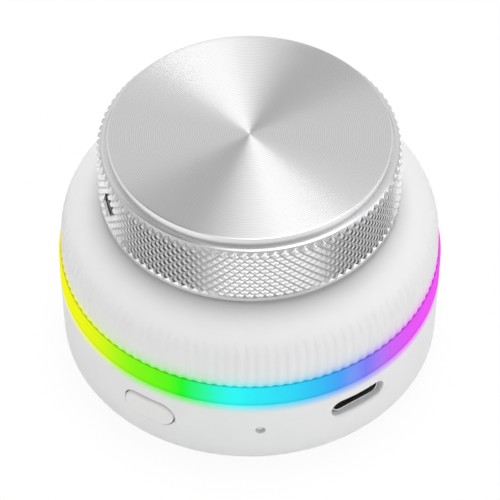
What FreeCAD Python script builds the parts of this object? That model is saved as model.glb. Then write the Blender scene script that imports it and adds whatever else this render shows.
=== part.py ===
import FreeCAD, Part
import math
import os
import Sketcher
from FreeCAD import Placement, Rotation, Vector
from types import SimpleNamespace

# Desk volume knob: an aluminium cap on a push-and-turn encoder, over a round plastic case with a
# light ring, a mode button and a USB-C inlet.  Millimetres, +Z up, origin under the rubber pad,
# front of the case towards -Y.  Azimuths turn from the front towards +X.

SIZES = {
    # case, from the desk upwards
    "pad_proud": 0.6,
    "pad_thickness": 1.1,
    "pad_edge_chamfer": 0.3,
    "body_radius": 31.0,
    "housing_height": 13.8,
    "housing_draft": 0.15,
    "housing_bottom_round": 1.3,
    "ring_height": 4.0,
    "shell_height": 11.8,
    "shell_step": 0.4,
    "shell_draft": 0.5,
    "shoulder_round": 7.75,
    "flute_count": 120,
    "flute_depth": 0.15,
    "flute_run_out": 36.0,
    "wall": 2.0,
    "ceiling": 2.2,
    "seam_fit": 0.1,
    "ring_width": 3.6,
    "ring_lip": 1.0,
    # floor, ballast and the screws that clamp the stack
    "plate_thickness": 1.8,
    "plate_fit": 0.3,
    "weight_gap": 0.8,
    "weight_thickness": 2.6,
    "weight_chamfer": 0.4,
    "screw_count": 3,
    "screw_inset": 4.4,
    "screw_radius": 1.25,
    "screw_fit": 0.15,
    "screw_head_radius": 2.3,
    "screw_head_height": 1.1,
    "screw_bite": 5.5,
    "boss_radius": 3.4,
    "boss_web": 1.6,
    "column_radius": 2.5,
    "spacer_radius": 2.3,
    # boards
    "board_thickness": 1.6,
    "board_fit": 0.7,
    "ring_board_gap": 0.5,
    "ring_board_width": 5.4,
    "light_count": 12,
    "light_width": 3.2,
    "light_depth": 1.8,
    "light_height": 1.6,
    "light_lift": 0.4,
    "chip_side": 7.0,
    "chip_height": 0.9,
    "capacitor_length": 1.6,
    "capacitor_side": 0.8,
    "capacitor_count": 6,
    "capacitor_circle": 17.5,
    # USB-C inlet
    "port_azimuth": 34.2,
    "port_height": 8.7,
    "port_hole_width": 10.1,
    "port_hole_height": 3.6,
    "port_recess": 2.0,
    "port_shell_width": 8.94,
    "port_shell_height": 3.26,
    "port_shell_length": 7.3,
    "port_shell_wall": 0.3,
    "tongue_width": 6.69,
    "tongue_thickness": 0.7,
    "tongue_setback": 0.5,
    "tongue_root": 1.6,
    # mode button
    "button_azimuth": 328.6,
    "button_height": 7.55,
    "button_width": 8.9,
    "button_tall": 4.6,
    "button_gap": 0.12,
    "button_sink": 0.15,
    "button_flange": 0.9,
    "button_flange_thickness": 0.8,
    "button_seat_rim": 0.7,
    "button_seat_depth": 0.8,
    "button_travel": 0.4,
    "switch_side": 4.6,
    "switch_depth": 3.4,
    "switch_height": 3.2,
    "switch_reach": 0.9,
    "plunger_width": 1.8,
    "plunger_tall": 1.2,
    # status light
    "status_azimuth": 3.1,
    "status_height": 7.56,
    "status_radius": 0.8,
    "status_sink": 0.5,
    "status_flange": 0.5,
    "status_flange_rim": 0.6,
    # encoder, from its board upwards
    "encoder_side": 12.4,
    "can_height": 5.4,
    "can_floor": 0.8,
    "dome_radius": 1.9,
    "dome_height": 0.6,
    "dome_sheet": 0.1,
    "pusher_radius": 2.6,
    "pusher_thickness": 0.7,
    "well_fit": 0.3,
    "rotor_radius": 4.8,
    "rotor_thickness": 1.3,
    "rotor_lift": 0.6,
    "flange_thickness": 1.2,
    "bracket_sheet": 0.4,
    "bracket_width": 9.0,
    "bushing_radius": 3.5,
    "bushing_fit": 0.1,
    "bushing_stub": 0.4,
    "washer_radius": 5.6,
    "washer_thickness": 0.4,
    "nut_flats": 10.0,
    "nut_thickness": 1.8,
    "shaft_radius": 3.0,
    "shaft_fit": 0.05,
    "shaft_flat": 1.5,
    "collar_radius": 3.6,
    "collar_thickness": 0.7,
    "neck_radius": 2.2,
    "neck_flat": 1.7,
    "press_travel": 0.5,
    "post_circle": 12.8,
    "post_radius": 2.0,
    "encoder_board_radius": 15.6,
    "board_screw_radius": 0.8,
    "board_screw_length": 5.0,
    "board_screw_head_radius": 1.6,
    "board_screw_head_height": 1.0,
    # plug-in links between the boards
    "link_pins": 5,
    "link_pitch": 2.0,
    "link_pin": 0.5,
    "link_block_depth": 2.0,
    "link_block_height": 2.4,
    "encoder_link_back": 9.6,
    "light_link_inset": 3.5,
    "light_link_azimuth": 90.0,
    "encoder_link_azimuth": 180.0,
    # aluminium knob
    "knob_gap": 0.7,
    "knob_radius": 23.8,
    "knob_edge": 11.0,
    "knob_chamfer": 0.5,
    "face_inset": 1.5,
    "face_rise": 1.5,
    "face_groove_width": 0.5,
    "face_groove_depth": 0.25,
    "face_chamfer": 0.25,
    "knob_face": 3.4,
    "knob_wall": 3.2,
    "hub_radius": 7.6,
    "hub_clearance": 0.5,
    "insert_radius": 5.0,
    "insert_fit": 0.03,
    "shaft_end_gap": 0.8,
    "grub_azimuth": 292.0,
    "grub_height": 6.0,
    "grub_radius": 1.5,
    "grub_key": 0.75,
    "grub_key_depth": 1.4,
    "grub_hole_radius": 1.65,
}

doc = FreeCAD.newDocument("volume_knob")


class Size:
    """A length or angle that also carries the sheet formula it comes from."""

    def __init__(self, value, formula):
        self.value = float(value)
        self.formula = formula

    def __float__(self):
        return self.value

    def __add__(self, other):
        return Size(self.value + float(other), f"({self.formula} + {text(other)})")

    def __radd__(self, other):
        return Size(float(other) + self.value, f"({text(other)} + {self.formula})")

    def __sub__(self, other):
        return Size(self.value - float(other), f"({self.formula} - {text(other)})")

    def __rsub__(self, other):
        return Size(float(other) - self.value, f"({text(other)} - {self.formula})")

    def __mul__(self, other):
        return Size(self.value * float(other), f"({self.formula} * {text(other)})")

    def __rtruediv__(self, other):
        return Size(float(other) / self.value, f"({text(other)} / {self.formula})")

    def __truediv__(self, other):
        return Size(self.value / float(other), f"({self.formula} / {text(other)})")

    def __neg__(self):
        return self * -1

    def sine(self):
        return Size(math.sin(math.radians(self.value)), f"sin({self.formula} * 1deg)")

    def cosine(self):
        return Size(math.cos(math.radians(self.value)), f"cos({self.formula} * 1deg)")


def text(value):
    """A size as the text of its formula, or a plain number as it is."""
    return value.formula if isinstance(value, Size) else str(value)


def fill_sheet():
    """Put every size in the sheet under its own name, and read it back from there."""
    sheet = doc.addObject("Spreadsheet::Sheet", "Sizes")
    for row, (alias, value) in enumerate(SIZES.items(), 1):
        sheet.set(f"A{row}", alias)
        sheet.set(f"B{row}", str(value))
        sheet.setAlias(f"B{row}", alias)
    doc.recompute()
    return SimpleNamespace(**{alias: Size(sheet.get(alias), f"Sizes.{alias}") for alias in SIZES})


S = fill_sheet()

# Heights of the seats, each one face of the stack above the desk
HOUSING = S.pad_proud
PLATE = S.pad_thickness
PLATE_TOP = PLATE + S.plate_thickness
PORT_AXIS = HOUSING + S.port_height
BOARD_TOP = PORT_AXIS - S.port_shell_height / 2
BOARD = BOARD_TOP - S.board_thickness
RING = HOUSING + S.housing_height
SHELL = RING + S.ring_height
RING_BOARD_TOP = RING + S.light_lift
RING_BOARD = RING_BOARD_TOP - S.board_thickness
SHELL_TOP = SHELL + S.shell_height
CEILING = SHELL_TOP - S.ceiling
BRACKET = CEILING - S.bracket_sheet
FLANGE = BRACKET - S.flange_thickness
ENCODER_BOARD_TOP = FLANGE - S.can_height
ENCODER_BOARD = ENCODER_BOARD_TOP - S.board_thickness
DOME = ENCODER_BOARD_TOP + S.can_floor
PUSHER = DOME + S.dome_height
SHAFT_END = PUSHER + S.pusher_thickness
ROTOR = SHAFT_END + S.rotor_lift
COLLAR = FLANGE - S.collar_thickness
WASHER = SHELL_TOP
NUT = WASHER + S.washer_thickness
BUSHING_TOP = NUT + S.nut_thickness + S.bushing_stub
KNOB = SHELL_TOP + S.knob_gap
HUB = BUSHING_TOP + S.press_travel + S.hub_clearance
KNOB_LEDGE = KNOB + S.knob_edge
KNOB_TOP = KNOB_LEDGE + S.face_rise
KNOB_UNDERSIDE = KNOB_TOP - S.knob_face

# Reaches from the axis that several pieces share
HOUSING_BORE = S.body_radius - S.wall
SHELL_RADIUS = S.body_radius - S.shell_step
SHELL_BORE = SHELL_RADIUS - S.wall
BUTTON_SEAT = HOUSING_BORE - S.button_seat_depth
SWITCH_FRONT = BUTTON_SEAT - S.button_flange_thickness - S.switch_reach * 2
PORT_MOUTH = S.body_radius - S.port_recess
SCREW_HOLE = S.screw_radius + S.screw_fit
SCREW_CIRCLE = HOUSING_BORE - S.screw_inset
RING_BORE = S.body_radius - S.ring_width
RING_BOARD_RADIUS = RING_BORE - S.ring_board_gap
WEIGHT_RADIUS = SCREW_CIRCLE - S.boss_radius - S.weight_gap
FACE_RADIUS = S.knob_radius - S.face_inset


# Building blocks

def bind(thing, path, value):
    """Tie one property of a piece to the formula of its size."""
    if isinstance(value, Size):
        thing.setExpression(path, value.formula)


def place(thing, level, turn=0.0, reach=0.0):
    """Seat a piece at a height, turned about Z, and moved out along its own front."""
    thing.Placement = Placement(Vector(0, 0, float(level)), Rotation(Vector(0, 0, 1), float(turn)))
    bind(thing, "Placement.Base.z", level)
    if isinstance(turn, Size):
        bind(thing, "Placement.Rotation.Angle", turn)
        if isinstance(reach, Size):
            bind(thing, "Placement.Base.x", reach * turn.sine())
            bind(thing, "Placement.Base.y", -(reach * turn.cosine()))
    return thing


def new_body(label, level, turn=0.0, reach=0.0):
    """Empty body with its own label, seated at a height."""
    body = doc.addObject("PartDesign::Body", label)
    body.Label = label
    return place(body, level, turn, reach)


def sketch(body, role, name, depth=0.0, turn=None):
    """Sketch on an origin plane, moved out by a depth and, if upright, turned about Z."""
    flat = body.newObject("Sketcher::SketchObject", name)
    plane = next(item for item in body.Origin.OriginFeatures if item.Role == role)
    flat.AttachmentSupport = [(plane, "")]
    flat.MapMode = "FlatFace"
    if turn is None:
        bind(flat, "AttachmentOffset.Base.z", depth)
        return flat
    flat.AttachmentOffset = Placement(Vector(0, 0, 0), Rotation(Vector(0, 1, 0), float(turn)))
    bind(flat, "AttachmentOffset.Rotation.Angle", turn)
    bind(flat, "AttachmentOffset.Base.x", turn.sine() * depth)
    bind(flat, "AttachmentOffset.Base.z", turn.cosine() * depth)
    return flat


def pin(flat, geometry, point, x, y):
    """Hold one sketch point at two signed distances from the sketch's origin."""
    for kind, value in (("DistanceX", x), ("DistanceY", y)):
        rule = Sketcher.Constraint(kind, -1, 1, geometry, point, float(value))
        index = flat.addConstraint(rule)
        if isinstance(value, Size):
            flat.setExpression(f"Constraints[{index}]", value.formula)


def outline(flat, corners):
    """Closed straight-sided outline through the corners."""
    first = flat.GeometryCount
    spots = [Vector(float(x), float(y), 0) for x, y in corners]
    for here, there in zip(spots, spots[1:] + spots[:1]):
        flat.addGeometry(Part.LineSegment(here, there), False)
    for number, (x, y) in enumerate(corners):
        following = first + (number + 1) % len(corners)
        flat.addConstraint(Sketcher.Constraint("Coincident", first + number, 2, following, 1))
        pin(flat, first + number, 1, x, y)
    return flat


def rectangle(flat, width, height, x=0.0, y=0.0):
    """Rectangle centred on a point."""
    left = x - width / 2
    right = x + width / 2
    low = y - height / 2
    high = y + height / 2
    return outline(flat, [(left, low), (right, low), (right, high), (left, high)])


def circle(flat, radius, x=0.0, y=0.0):
    """Circle about a point."""
    middle = Vector(float(x), float(y), 0)
    number = flat.addGeometry(Part.Circle(middle, Vector(0, 0, 1), float(radius)), False)
    pin(flat, number, 3, x, y)
    rule = flat.addConstraint(Sketcher.Constraint("Radius", number, float(radius)))
    flat.setExpression(f"Constraints[{rule}]", text(radius))
    return flat


def pill(flat, width, height, y=0.0):
    """Rounded slot, as long as it is wide, with ends that are half circles."""
    reach = (width - height) / 2
    radius = height / 2
    first = flat.GeometryCount
    for side, start in ((1, -math.pi / 2), (-1, math.pi / 2)):
        middle = Vector(side * float(reach), float(y), 0)
        end = Part.Circle(middle, Vector(0, 0, 1), float(radius))
        flat.addGeometry(Part.ArcOfCircle(end, start, start + math.pi), False)
    ends = [Vector(side * float(reach), float(y) + side * float(radius), 0) for side in (1, -1)]
    flat.addGeometry(Part.LineSegment(ends[0], ends[0] - Vector(2 * float(reach), 0, 0)), False)
    flat.addGeometry(Part.LineSegment(ends[1], ends[1] + Vector(2 * float(reach), 0, 0)), False)
    for a, a_end, b, b_end in ((0, 2, 2, 1), (2, 2, 1, 1), (1, 2, 3, 1), (3, 2, 0, 1)):
        flat.addConstraint(Sketcher.Constraint("Tangent", first + a, a_end, first + b, b_end))
    pin(flat, first, 3, reach, y)
    pin(flat, first + 1, 3, -reach, y)
    rule = flat.addConstraint(Sketcher.Constraint("Radius", first, float(radius)))
    flat.setExpression(f"Constraints[{rule}]", text(radius))
    return flat


def feature(flat, kind, name):
    """Feature made from a sketch, in the sketch's own body."""
    made = flat.getParentGeoFeatureGroup().newObject(f"PartDesign::{kind}", name)
    made.Profile = flat
    return made


def pad(flat, length, name):
    """Solid raised along the sketch's normal."""
    made = feature(flat, "Pad", name)
    bind(made, "Length", length)
    return made


def pocket(flat, length, name, ahead=True):
    """Cut along the sketch's own normal, or against it."""
    made = feature(flat, "Pocket", name)
    made.Reversed = ahead
    bind(made, "Length", length)
    return made


def revolve(flat, name, kind="Revolution"):
    """Solid or cut made by a full turn about the sketch's upright axis."""
    made = feature(flat, kind, name)
    made.ReferenceAxis = (flat, ["V_Axis"])
    made.Angle = 360
    return made


def around(features, count, name):
    """Repeat features about Z and make the pattern the body's tip."""
    body = features[0].getParentGeoFeatureGroup()
    pattern = body.newObject("PartDesign::PolarPattern", name)
    pattern.Originals = features
    axis = next(item for item in body.Origin.OriginFeatures if item.Role == "Z_Axis")
    pattern.Axis = (axis, [""])
    pattern.Angle = 360
    bind(pattern, "Occurrences", count)
    body.Tip = pattern
    return pattern


def rim_names(body, radius, height):
    """Names of the body's round edges with this radius and height."""
    doc.recompute()
    names = []
    for number, edge in enumerate(body.Tip.Shape.Edges, 1):
        if isinstance(edge.Curve, Part.Circle):
            off = abs(edge.Curve.Radius - float(radius)) + abs(edge.Curve.Center.z - float(height))
            if off < 1e-5:
                names.append(f"Edge{number}")
    return names


def chamfer(body, size, radius, height, name):
    """Chamfer the round edge at a radius and height."""
    names = rim_names(body, radius, height)
    base = body.Tip
    made = body.newObject("PartDesign::Chamfer", name)
    made.Base = (base, names)
    bind(made, "Size", size)
    return made


# Case

def rounded_corner(reach, radius):
    """Corners of a lower outside edge, rounded in three equal steps."""
    turns = [math.radians(30 * step) for step in range(4)]
    return [(reach - radius * (1 - math.sin(turn)), radius * (1 - math.cos(turn))) for turn in turns]


def lower_housing():
    """Side wall with three clamping bosses, the inlet, the button seat and the status hole."""
    body = new_body("lower_housing", HOUSING)
    foot = S.body_radius - S.housing_draft
    wall = sketch(body, "XZ_Plane", "wall_section")
    bottom = rounded_corner(foot, S.housing_bottom_round)
    outline(wall, [(HOUSING_BORE, 0), *bottom, (S.body_radius, S.housing_height),
                   (HOUSING_BORE, S.housing_height)])
    revolve(wall, "wall")

    boss_low = PLATE_TOP - HOUSING
    boss_high = BOARD - HOUSING
    boss_sketch = sketch(body, "XY_Plane", "boss_outline", boss_low)
    circle(boss_sketch, S.boss_radius, 0, SCREW_CIRCLE)
    boss = pad(boss_sketch, boss_high - boss_low, "boss")
    web_sketch = sketch(body, "XY_Plane", "web_outline", boss_low)
    web_end = HOUSING_BORE + S.wall / 2
    rectangle(web_sketch, S.boss_web, web_end - SCREW_CIRCLE, 0, (web_end + SCREW_CIRCLE) / 2)
    web = pad(web_sketch, boss_high - boss_low, "web")
    hole_sketch = sketch(body, "XY_Plane", "boss_hole_outline", boss_low)
    circle(hole_sketch, SCREW_HOLE, 0, SCREW_CIRCLE)
    hole = pocket(hole_sketch, boss_high - boss_low, "boss_hole")
    around([boss, web, hole], S.screw_count, "bosses")

    seat = sketch(body, "XZ_Plane", "button_seat_outline", BUTTON_SEAT, S.button_azimuth)
    seat_margin = (S.button_flange + S.button_seat_rim) * 2
    rectangle(seat, S.button_width + seat_margin, S.button_tall + seat_margin, 0, S.button_height)
    pad(seat, S.button_seat_depth + S.wall / 2, "button_seat")
    button_hole = sketch(body, "XZ_Plane", "button_hole_outline", 0, S.button_azimuth)
    pill(button_hole, S.button_width + S.button_gap * 2, S.button_tall + S.button_gap * 2,
         S.button_height)
    pocket(button_hole, S.body_radius, "button_hole")
    port_hole = sketch(body, "XZ_Plane", "port_hole_outline", 0, S.port_azimuth)
    pill(port_hole, S.port_hole_width, S.port_hole_height, S.port_height)
    pocket(port_hole, S.body_radius, "port_hole")
    status_hole = sketch(body, "XZ_Plane", "status_hole_outline", 0, S.status_azimuth)
    circle(status_hole, S.status_radius, 0, S.status_height)
    pocket(status_hole, S.body_radius, "status_hole")
    return body


def light_ring():
    """Diffuser band with a lip that drops into the housing and one that enters the shell."""
    body = new_body("light_ring", RING)
    low_lip = HOUSING_BORE - S.seam_fit
    high_lip = SHELL_BORE - S.seam_fit
    section = sketch(body, "XZ_Plane", "ring_section")
    outline(section, [(RING_BORE, -S.ring_lip), (low_lip, -S.ring_lip), (low_lip, 0),
                      (S.body_radius, 0), (S.body_radius, S.ring_height),
                      (high_lip, S.ring_height), (high_lip, S.ring_height + S.ring_lip),
                      (RING_BORE, S.ring_height + S.ring_lip)])
    revolve(section, "ring")
    return body


def skin_rings():
    """Reach, height and flute depth of each level of the fluted skin, from below its foot upwards."""
    bend = float(S.shoulder_round)
    wall_top = float(S.shell_height) - bend
    lean = float(S.shell_draft / S.shell_height)
    middle = float(SHELL_RADIUS) - lean * wall_top - bend
    below = float(RING_BOARD_TOP - SHELL - S.ring_lip)
    depth = float(S.flute_depth)
    run_out = float(S.flute_run_out)

    def on_shoulder(angle):
        turn = math.radians(angle)
        return middle + bend * math.cos(turn), wall_top + bend * math.sin(turn)

    fluted = [(float(SHELL_RADIUS) - lean * below, below, depth)]
    for share in (0, 1 / 3, 2 / 3, 1):
        fluted.append((*on_shoulder(run_out * share), depth * (1 - share ** 4)))
    plain = [on_shoulder(run_out + (90 - run_out) * share) for share in (0.25, 0.5, 0.75, 1)]
    return fluted, plain


def fluted_skin():
    """Outer form of the shell in flat facets: ribs and vees up the wall that fade on the shoulder."""
    count = round(float(S.flute_count))
    fluted, plain = skin_rings()
    step = math.pi / count

    def spot(number, reach, height):
        return Vector(reach * math.sin(step * number), -reach * math.cos(step * number), height)

    def ring(reach, height, depth):
        vee = reach * math.cos(step) - depth
        return [spot(n, vee if n % 2 else reach, height) for n in range(2 * count)]

    def face(*corners):
        return Part.Face(Part.makePolygon([*corners, corners[0]]))

    rings = [ring(*level) for level in fluted]
    facets = [face(*reversed(rings[0]))]
    for low, high in zip(rings, rings[1:]):
        for n in range(0, 2 * count, 2):
            for rib, vee in ((n, n + 1), ((n + 2) % (2 * count), n + 1)):
                facets.append(face(low[rib], low[vee], high[vee]))
                facets.append(face(low[rib], high[vee], high[rib]))
    low = rings[-1]
    for reach, height in plain:
        high = [spot(n, reach, height) for n in range(0, 2 * count, 2)]
        per_side = len(low) // count
        for n in range(count):
            foot = [low[(per_side * n + k) % len(low)] for k in range(per_side + 1)]
            facets.append(face(*foot, high[(n + 1) % count], high[n]))
        low = high
    facets.append(face(*low))
    shell = Part.makeShell(facets)
    shell.sewShape()
    skin = doc.addObject("Part::Feature", "fluted_skin")
    skin.Shape = Part.makeSolid(shell)
    return place(skin, SHELL)


def upper_shell():
    """Moulding with screw columns and posts for the encoder board, inside the fluted skin."""
    body = new_body("shell_blank", SHELL)
    inner_height = S.shell_height - S.ceiling
    inner_top = SHELL_BORE - S.shell_draft
    blank_top = S.shell_height + S.wall
    section = sketch(body, "XZ_Plane", "shell_section")
    hole = S.bushing_radius + S.bushing_fit
    slope = (S.shoulder_round - S.ceiling) * (2 - math.sqrt(2))
    outline(section, [(SHELL_BORE, 0), (S.body_radius, 0), (S.body_radius, blank_top),
                      (hole, blank_top), (hole, inner_height), (inner_top - slope, inner_height),
                      (inner_top, inner_height - slope)])
    revolve(section, "dome")

    column_foot = RING_BOARD_TOP - SHELL
    column_sketch = sketch(body, "XY_Plane", "column_outline", column_foot)
    circle(column_sketch, S.column_radius, 0, SCREW_CIRCLE)
    column = pad(column_sketch, inner_height - column_foot, "column")
    bore_sketch = sketch(body, "XY_Plane", "column_bore_outline", column_foot)
    circle(bore_sketch, S.screw_radius, 0, SCREW_CIRCLE)
    bore = pocket(bore_sketch, S.screw_bite, "column_bore")
    around([column, bore], S.screw_count, "columns")

    post_foot = ENCODER_BOARD_TOP - SHELL
    post_sketch = sketch(body, "XY_Plane", "post_outline", post_foot)
    circle(post_sketch, S.post_radius, 0, -S.post_circle)
    post = pad(post_sketch, inner_height - post_foot, "post")
    post_bore_sketch = sketch(body, "XY_Plane", "post_bore_outline", post_foot)
    circle(post_bore_sketch, S.board_screw_radius, 0, -S.post_circle)
    post_bore = pocket(post_bore_sketch, S.board_screw_length - S.board_thickness, "post_bore")
    around([post, post_bore], S.screw_count, "posts")
    shell = doc.addObject("Part::Common", "upper_shell")
    shell.Base = body
    shell.Tool = fluted_skin()
    return shell


def screw_holes(body, height, radius, name):
    """Clearance holes for the clamping screws."""
    flat = sketch(body, "XY_Plane", f"{name}_outline")
    circle(flat, radius, 0, SCREW_CIRCLE)
    return around([pocket(flat, height, f"{name}_first")], S.screw_count, name)


def base_plate():
    """Floor of the case, countersunk for the three clamping screws."""
    body = new_body("base_plate", PLATE)
    flat = sketch(body, "XY_Plane", "plate_outline")
    circle(flat, HOUSING_BORE - S.plate_fit)
    pad(flat, S.plate_thickness, "plate")
    section = sketch(body, "XZ_Plane", "countersink_section", -SCREW_CIRCLE)
    sink = S.screw_head_height
    outline(section, [(0, 0), (S.screw_head_radius + S.screw_fit, 0), (SCREW_HOLE, sink),
                      (SCREW_HOLE, S.plate_thickness), (0, S.plate_thickness)])
    around([revolve(section, "countersink", "Groove")], S.screw_count, "countersinks")
    return body


def anti_slip_pad():
    """Rubber disc under the floor, a little proud of the housing."""
    body = new_body("anti_slip_pad", 0.0)
    flat = sketch(body, "XY_Plane", "pad_outline")
    radius = HOUSING_BORE - S.plate_fit
    circle(flat, radius)
    pad(flat, S.pad_thickness, "pad_disc")
    chamfer(body, S.pad_edge_chamfer, radius, 0, "pad_edge")
    return body


def weight_plate():
    """Steel disc that keeps the knob still while it is turned."""
    body = new_body("weight_plate", PLATE_TOP)
    flat = sketch(body, "XY_Plane", "weight_outline")
    circle(flat, WEIGHT_RADIUS)
    pad(flat, S.weight_thickness, "weight_disc")
    chamfer(body, S.weight_chamfer, WEIGHT_RADIUS, S.weight_thickness, "weight_edge")
    return body


def case_screws():
    """Countersunk screws from the base plate, through the boards, into the shell's columns."""
    body = new_body("case_screws", PLATE)
    length = RING_BOARD_TOP - PLATE + S.screw_bite
    section = sketch(body, "XZ_Plane", "screw_section", -SCREW_CIRCLE)
    outline(section, [(0, 0), (S.screw_head_radius, 0), (S.screw_radius, S.screw_head_height),
                      (S.screw_radius, length), (0, length)])
    around([revolve(section, "screw")], S.screw_count, "screws")
    return body


def board_spacers():
    """Tubes on the screws that hold the light board above the main board."""
    body = new_body("board_spacers", BOARD_TOP)
    flat = sketch(body, "XY_Plane", "spacer_outline")
    circle(flat, S.spacer_radius, 0, SCREW_CIRCLE)
    circle(flat, SCREW_HOLE, 0, SCREW_CIRCLE)
    around([pad(flat, RING_BOARD - BOARD_TOP, "spacer")], S.screw_count, "spacers")
    return body


# Boards and what they carry

def main_board():
    """Round board, cut back behind the mode button."""
    body = new_body("main_board", BOARD)
    flat = sketch(body, "XY_Plane", "board_outline")
    circle(flat, HOUSING_BORE - S.board_fit)
    pad(flat, S.board_thickness, "board")
    screw_holes(body, S.board_thickness, SCREW_HOLE, "board_holes")
    notch = sketch(body, "XZ_Plane", "notch_outline", SWITCH_FRONT + S.board_fit, S.button_azimuth)
    margin = (S.button_flange + S.button_seat_rim + S.seam_fit) * 2
    rectangle(notch, S.button_width + margin, S.board_thickness * 3)
    pocket(notch, S.body_radius, "notch")
    return body


def port_profile(body, name, inset=0.0):
    """Section of the inlet's metal tube."""
    flat = sketch(body, "XZ_Plane", name)
    return pill(flat, S.port_shell_width - inset, S.port_shell_height - inset)


def usb_c_shell():
    """Drawn metal shell of the inlet, open at both ends of its tube."""
    body = new_body("usb_c_shell", PORT_AXIS, S.port_azimuth, PORT_MOUTH)
    pad(port_profile(body, "outside"), S.port_shell_length, "tube").Reversed = True
    hollow = port_profile(body, "inside", S.port_shell_wall * 2)
    pocket(hollow, S.port_shell_length, "hollow", ahead=False)
    return body


def usb_c_tongue():
    """Moulded insulator: a root that closes the shell and the tongue that carries the contacts."""
    body = new_body("usb_c_tongue", PORT_AXIS, S.port_azimuth, PORT_MOUTH)
    root = sketch(body, "XZ_Plane", "root_outline", S.tongue_root - S.port_shell_length)
    pill(root, S.port_shell_width - S.port_shell_wall * 2, S.port_shell_height - S.port_shell_wall * 2)
    pad(root, S.tongue_root, "root").Reversed = True
    tongue = sketch(body, "XZ_Plane", "tongue_outline", -S.tongue_setback)
    rectangle(tongue, S.tongue_width, S.tongue_thickness)
    length = S.port_shell_length - S.tongue_root / 2 - S.tongue_setback
    pad(tongue, length, "tongue").Reversed = True
    return body


def controller_chip():
    """Square package with its pin-one corner cut."""
    body = new_body("controller_chip", BOARD_TOP)
    flat = sketch(body, "XY_Plane", "chip_outline")
    half = S.chip_side / 2
    cut = half - S.chip_height
    outline(flat, [(-half, -half), (half, -half), (half, half), (-cut, half), (-half, cut)])
    pad(flat, S.chip_height, "package")
    return body


def board_capacitors():
    """Ceramic blocks in a ring on the main board."""
    body = new_body("board_capacitors", BOARD_TOP)
    flat = sketch(body, "XY_Plane", "capacitor_outline")
    rectangle(flat, S.capacitor_length, S.capacitor_side, 0, S.capacitor_circle)
    around([pad(flat, S.capacitor_side, "capacitor")], S.capacitor_count, "capacitors")
    return body


def status_led():
    """Small light at the edge of the main board, behind its pipe."""
    body = new_body("status_led", BOARD_TOP, S.status_azimuth)
    flat = sketch(body, "XY_Plane", "led_outline")
    edge = HOUSING_BORE - S.board_fit
    rectangle(flat, S.capacitor_length, S.capacitor_side, 0, S.capacitor_side - edge)
    pad(flat, S.capacitor_side, "led")
    return body


def status_light_pipe():
    """Clear plug in the wall, a little below the surface, with a flange against the inside."""
    body = new_body("status_light_pipe", HOUSING + S.status_height, S.status_azimuth)
    seat = HOUSING_BORE - S.seam_fit
    rod = sketch(body, "XZ_Plane", "rod_outline", seat)
    circle(rod, S.status_radius)
    pad(rod, S.body_radius - S.status_sink - seat, "rod")
    flange = sketch(body, "XZ_Plane", "flange_outline", seat)
    circle(flange, S.status_radius + S.status_flange_rim)
    pad(flange, S.status_flange, "flange").Reversed = True
    return body


def ring_board():
    """Ring-shaped board that carries the colour lights."""
    body = new_body("ring_board", RING_BOARD)
    flat = sketch(body, "XY_Plane", "ring_board_outline")
    circle(flat, RING_BOARD_RADIUS)
    circle(flat, RING_BOARD_RADIUS - S.ring_board_width)
    pad(flat, S.board_thickness, "board_ring")
    screw_holes(body, S.board_thickness, SCREW_HOLE, "ring_board_holes")
    return body


def ring_lights():
    """Colour lights on the edge of their board, facing outwards, clear of the screw columns."""
    body = new_body("ring_lights", RING_BOARD_TOP, 180 / S.light_count)
    flat = sketch(body, "XY_Plane", "light_outline")
    rectangle(flat, S.light_width, S.light_depth, 0, S.light_depth / 2 - RING_BOARD_RADIUS)
    around([pad(flat, S.light_height, "light")], S.light_count, "lights")
    return body


def mode_switch():
    """Side-pressed switch on the main board, with the slot that its plunger slides in."""
    body = new_body("mode_switch", BOARD_TOP, S.button_azimuth)
    front = sketch(body, "XZ_Plane", "switch_outline", SWITCH_FRONT)
    rectangle(front, S.switch_side, S.switch_height, 0, S.switch_height / 2)
    pad(front, S.switch_depth, "case").Reversed = True
    slot = sketch(body, "XZ_Plane", "slot_outline", SWITCH_FRONT)
    rectangle(slot, S.plunger_width + S.button_gap * 2, S.plunger_tall + S.button_gap * 2,
              0, S.switch_height / 2)
    pocket(slot, S.switch_reach + S.button_travel + S.button_gap, "slot", ahead=False)
    return body


def mode_plunger():
    """Tip of the side-pressed switch, pushed by the button's stem."""
    body = new_body("mode_plunger", BOARD_TOP, S.button_azimuth)
    tip = sketch(body, "XZ_Plane", "plunger_outline", SWITCH_FRONT + S.switch_reach)
    rectangle(tip, S.plunger_width, S.plunger_tall, 0, S.switch_height / 2)
    pad(tip, S.switch_reach * 2, "plunger").Reversed = True
    return body


def mode_button():
    """Pill cap that follows the round wall, with a retaining flange and a stem to the switch."""
    body = new_body("mode_button", HOUSING + S.button_height, S.button_azimuth)
    cap = sketch(body, "XZ_Plane", "cap_outline", BUTTON_SEAT)
    pill(cap, S.button_width, S.button_tall)
    pad(cap, S.body_radius - BUTTON_SEAT, "cap")
    trim = sketch(body, "XZ_Plane", "face_section")
    face = S.body_radius - S.button_sink
    rectangle(trim, S.wall * 2, S.button_tall * 2, face + S.wall)
    revolve(trim, "face", "Groove")
    flange = sketch(body, "XZ_Plane", "flange_outline", BUTTON_SEAT)
    pill(flange, S.button_width + S.button_flange * 2, S.button_tall + S.button_flange * 2)
    pad(flange, S.button_flange_thickness, "flange").Reversed = True
    stem = sketch(body, "XZ_Plane", "stem_outline", BUTTON_SEAT - S.button_flange_thickness)
    height = BOARD_TOP + S.switch_height / 2 - HOUSING - S.button_height
    rectangle(stem, S.plunger_width, S.plunger_tall, 0, height)
    pad(stem, S.switch_reach, "stem").Reversed = True
    return body


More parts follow.
